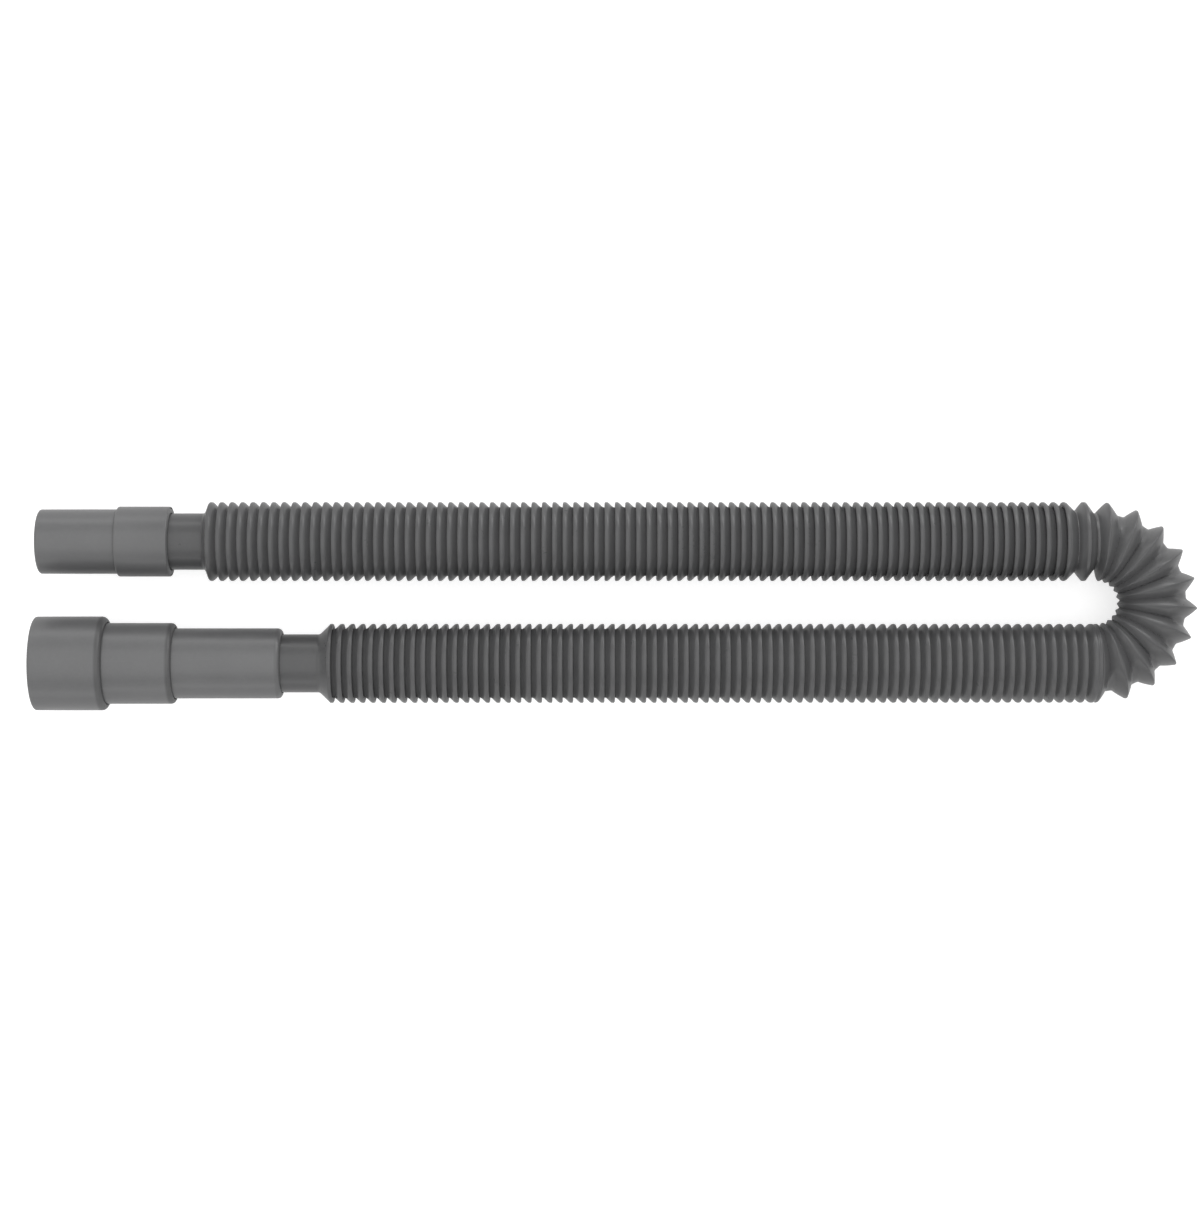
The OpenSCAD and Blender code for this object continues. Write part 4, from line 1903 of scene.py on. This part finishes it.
    def build(self, palette: Palette) -> bpy.types.Object:
        """Makes and dresses the section, and ties each ring to its share of the turn.

        Args:
            palette: The finishes.

        Returns:
            The finished object.
        """
        wall, turn = self.sizes.hose_wall, full_turn(self.sides)
        outside, inside = self.outline(0.0), self.outline(wall)[::-1]
        points = np.concatenate([self.rings(outside, 0.0, turn), self.rings(inside, wall, turn)])
        line = outside + [plain(c.along, c.radius, 0.9) for c in inside]
        angle, wear, shelter = (np.array([getattr(c, key) for c in line])
                                for key in ("along", "wear", "shelter"))
        # The squeezed inside of the U is rubbed less and counted as sheltered, as is all past COVERED; the
        # hose's finish paints sheltered places with painted fill light
        squeezed = np.clip(-np.cos(turn), 0, 1) ** 2
        worn = wear[:, None] * (1 - self.SQUEEZED_WEAR * squeezed[None])
        shaded = squeezed[None] * (1 - wear[:, None]) * self.SQUEEZED_SHADE
        shaded = np.maximum(shelter[:, None], shaded)
        shaded[angle > self.COVERED] = self.COVERED_SHADE
        piece = RingMesh(self.name, points, worn, shaded, turn).build(self.SMOOTH)
        self.dress(piece, palette)
        a, b = BEND_CHAIN[self.number - 1], BEND_CHAIN[self.number]
        start, end = (tuple(points[ring].mean(0)) for ring in (0, len(outside) - 1))
        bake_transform(piece, a.value, b.value, start, end)
        low, high = self.limits[0], min(90.0, self.limits[1])
        set_shares(piece, (angle - low) / (high - low), self.sides)
        return piece


@dataclass
class Hose:
    """The hose: two runs of shut pleats, the bend between them and a smooth neck at each end."""

    sizes: KitSizes = SIZES

    def build(self, palette: Palette) -> None:
        """Makes the whole hose.

        Args:
            palette: The finishes.
        """
        s, slot = self.sizes, Slot.HOSE
        lower = LowerRun("lower_pleats", "lower_run", slot, LOWER_AXIS, Body.LOWER_HOSE,
                         Body.LARGE_NECK, s.lower_pleats)
        upper = UpperRun("upper_pleats", "upper_run", slot, UPPER_AXIS, Body.UPPER_HOSE,
                         Body.SMALL_NECK, s.upper_pleats)
        large = TurnedPiece("large_neck_tube", "large_cuff", slot, LOWER_AXIS,
                            neck_corners(s, s.large_neck_r, s.lower_length, s.neck_end),
                            Body.LARGE_NECK, NECK_SIDES)
        small = TurnedPiece("small_neck_tube", "small_cuff", slot, UPPER_AXIS,
                            neck_corners(s, s.small_neck_r, s.upper_length, s.small_neck_end),
                            Body.SMALL_NECK, NECK_SIDES)
        sections = [BendSection(f"bend_pleats_{k}", f"bend_{k}", slot, k)
                    for k in range(1, s.sections + 1)]
        lower_made, upper_made, *bends, large_made, small_made = (
            piece.build(palette) for piece in (lower, upper, *sections, large, small))
        for run, piece, others in ((lower, lower_made, bends[:3] + [large_made]),
                                   (upper, upper_made, bends[3:] + [small_made])):
            start, end = run.span
            run.axis.point(end)
            run.centres()


# ---- Studio ----------------------------------------------------------------


@dataclass(frozen=True)
class SoftBox:
    """A soft lamp: a lit rectangle that looks at a point. glow is how bright its face is.

    A lamp whose line of sight has more than UPRIGHT of its length upwards hangs square
    to the x axis.
    """

    UPRIGHT = 0.99

    name: str
    place: tuple[float, float, float]
    target: tuple[float, float, float]
    width: float
    height: float
    glow: float

    def build(self) -> bpy.types.Object:
        """Makes the lamp.

        Returns:
            The lamp's object.
        """
        lamp = bpy.data.lights.new(self.name, "AREA")
        lamp.shape = "RECTANGLE"
        lamp.size, lamp.size_y = self.width, self.height
        lamp.energy = self.glow * math.pi * self.width * self.height
        obj = bpy.data.objects.new(self.name, lamp)
        bpy.context.scene.collection.objects.link(obj)
        here, there = np.array(self.place), np.array(self.target)
        back = (here - there) / np.linalg.norm(here - there)
        upright = abs(back[2]) > self.UPRIGHT
        right = np.array([1.0, 0.0, 0.0]) if upright else np.cross((0.0, 0.0, 1.0), back)
        right /= np.linalg.norm(right)
        up = np.cross(back, right)
        matrix = np.eye(4)
        matrix[:3, 0], matrix[:3, 1], matrix[:3, 2], matrix[:3, 3] = right, up, back, here
        obj.matrix_world = Matrix(matrix.tolist())
        obj.visible_camera = False
        return obj


@dataclass
class Studio:
    """A pale floor, soft lamps, a white background and the camera straight above.

    The camera is over the middle, a height above the hose. The dome and the floor's lift
    are how bright the surroundings and the floor's own glow are, and gloss_share is how
    much of that glow shows in glossy surfaces. Lengths are in metres, but for the lens
    and the sensor, which are in millimetres.
    """

    middle: tuple[float, float] = (-0.01024, 0.00126)
    height: float = 1.67
    lens: float = 80.3
    sensor: float = 36.0
    clip: tuple[float, float] = (0.05, 50.0)
    dome: float = 0.8
    floor_size: float = 6.0
    floor_parts: int = 6
    floor_colour: float = 0.6
    floor_lift: float = 0.65
    gloss_share: float = 0.4
    # Each lamp's name, place and target, its width and height, and how bright it is
    lamps: tuple[SoftBox, ...] = (
        SoftBox("overhead", (0.0, 0.06, 1.2), (0.0, 0.06, 0.0), 2.2, 1.8, 0.97),
        SoftBox("side_far", (0.0, 1.3, 0.3), (0.0, 0.0, 0.03), 3.0, 0.34, 2.0),
        SoftBox("side_near", (0.0, -1.3, 0.33), (0.0, 0.0, 0.03), 3.0, 0.34, 1.3),
        SoftBox("side_left", (-1.5, 0.0, 0.29), (0.0, 0.0, 0.03), 0.9, 0.5, 1.6),
        SoftBox("side_right", (1.5, 0.0, 0.25), (0.2, 0.0, 0.03), 1.2, 0.4, 0.5),
        SoftBox("corner_far", (0.7, 1.2, 0.52), (0.0, 0.0, 0.03), 0.9, 0.7, 2.6),
    )

    def camera(self) -> None:
        """Places the camera."""
        data = bpy.data.cameras.new("camera")
        data.sensor_width, data.lens = self.sensor, self.lens
        data.clip_start, data.clip_end = self.clip
        obj = bpy.data.objects.new("camera", data)
        obj.location = (*self.middle, SIZES.crest_r * MM + self.height)
        bpy.context.scene.collection.objects.link(obj)
        bpy.context.scene.camera = obj

    def seen(self, tree: bpy.types.NodeTree) -> bpy.types.NodeSocket:
        """Makes a switch that is on for what the camera, gloss and clear pieces see.

        Args:
            tree: The world's node tree.

        Returns:
            The switch's output.
        """
        path = tree.nodes.new("ShaderNodeLightPath")
        total = path.outputs["Is Camera Ray"]
        for name in ("Is Glossy Ray", "Is Transmission Ray"):
            both = tree.nodes.new("ShaderNodeMath")
            both.operation = "MAXIMUM"
            tree.links.new(total, both.inputs[0])
            tree.links.new(path.outputs[name], both.inputs[1])
            total = both.outputs[0]
        return total

    def world(self) -> None:
        """Lights the scene with a plain dome that looks white."""
        world = bpy.data.worlds.new("dome")
        world.use_nodes = True
        tree = world.node_tree
        tree.nodes.clear()
        light, look = (tree.nodes.new("ShaderNodeBackground") for _ in range(2))
        for node, strength in ((light, self.dome), (look, 1.0)):
            node.inputs["Strength"].default_value = strength
            node.inputs["Color"].default_value = (1, 1, 1, 1)
        mix, out = tree.nodes.new("ShaderNodeMixShader"), tree.nodes.new("ShaderNodeOutputWorld")
        tree.links.new(self.seen(tree), mix.inputs[0])
        tree.links.new(light.outputs[0], mix.inputs[1])
        tree.links.new(look.outputs[0], mix.inputs[2])
        tree.links.new(mix.outputs[0], out.inputs[0])
        bpy.context.scene.world = world

    def floor(self) -> None:
        """Lays a plain pale floor, which keeps the object's shadow."""
        size, parts = self.floor_size, self.floor_parts
        steps = [size * (2 * i / parts - 1) for i in range(parts + 1)]
        points = [(x, y, 0.0) for y in steps for x in steps]
        row = parts + 1
        faces = [(j * row + i, j * row + i + 1, (j + 1) * row + i + 1, (j + 1) * row + i)
                 for j in range(parts) for i in range(parts)]
        mesh = bpy.data.meshes.new("floor")
        mesh.from_pydata(points, [], faces)
        obj = bpy.data.objects.new("floor", mesh)
        bpy.context.scene.collection.objects.link(obj)
        n = NodeBench("floor_paint")
        paint, lift, add = n.add("BsdfDiffuse"), n.add("Emission"), n.add("AddShader")
        paint.inputs["Color"].default_value = (self.floor_colour,) * 3 + (1,)
        path = n.add("LightPath").outputs
        look = n.plus(path["Is Camera Ray"], n.times(path["Is Glossy Ray"], self.gloss_share))
        n.feed(lift.inputs["Strength"], n.times(look, self.floor_lift))
        n.tree.links.new(paint.outputs[0], add.inputs[0])
        n.tree.links.new(lift.outputs[0], add.inputs[1])
        mesh.materials.append(n.finish(add))

    def build(self) -> None:
        """Sets up the whole studio."""
        self.world()
        self.floor()
        for lamp in self.lamps:
            lamp.build()
        bpy.context.scene.view_settings.view_transform = "Standard"


def main() -> None:
    """Builds the camera, the hose, its couplings and the studio."""
    studio = Studio()
    studio.camera()
    palette = Palette.mixed()
    Hose().build(palette)
    for piece in LargeCoupling().pieces() + SmallCoupling().pieces():
        piece.build(palette)
    studio.build()


if __name__ == "__main__":
    main()
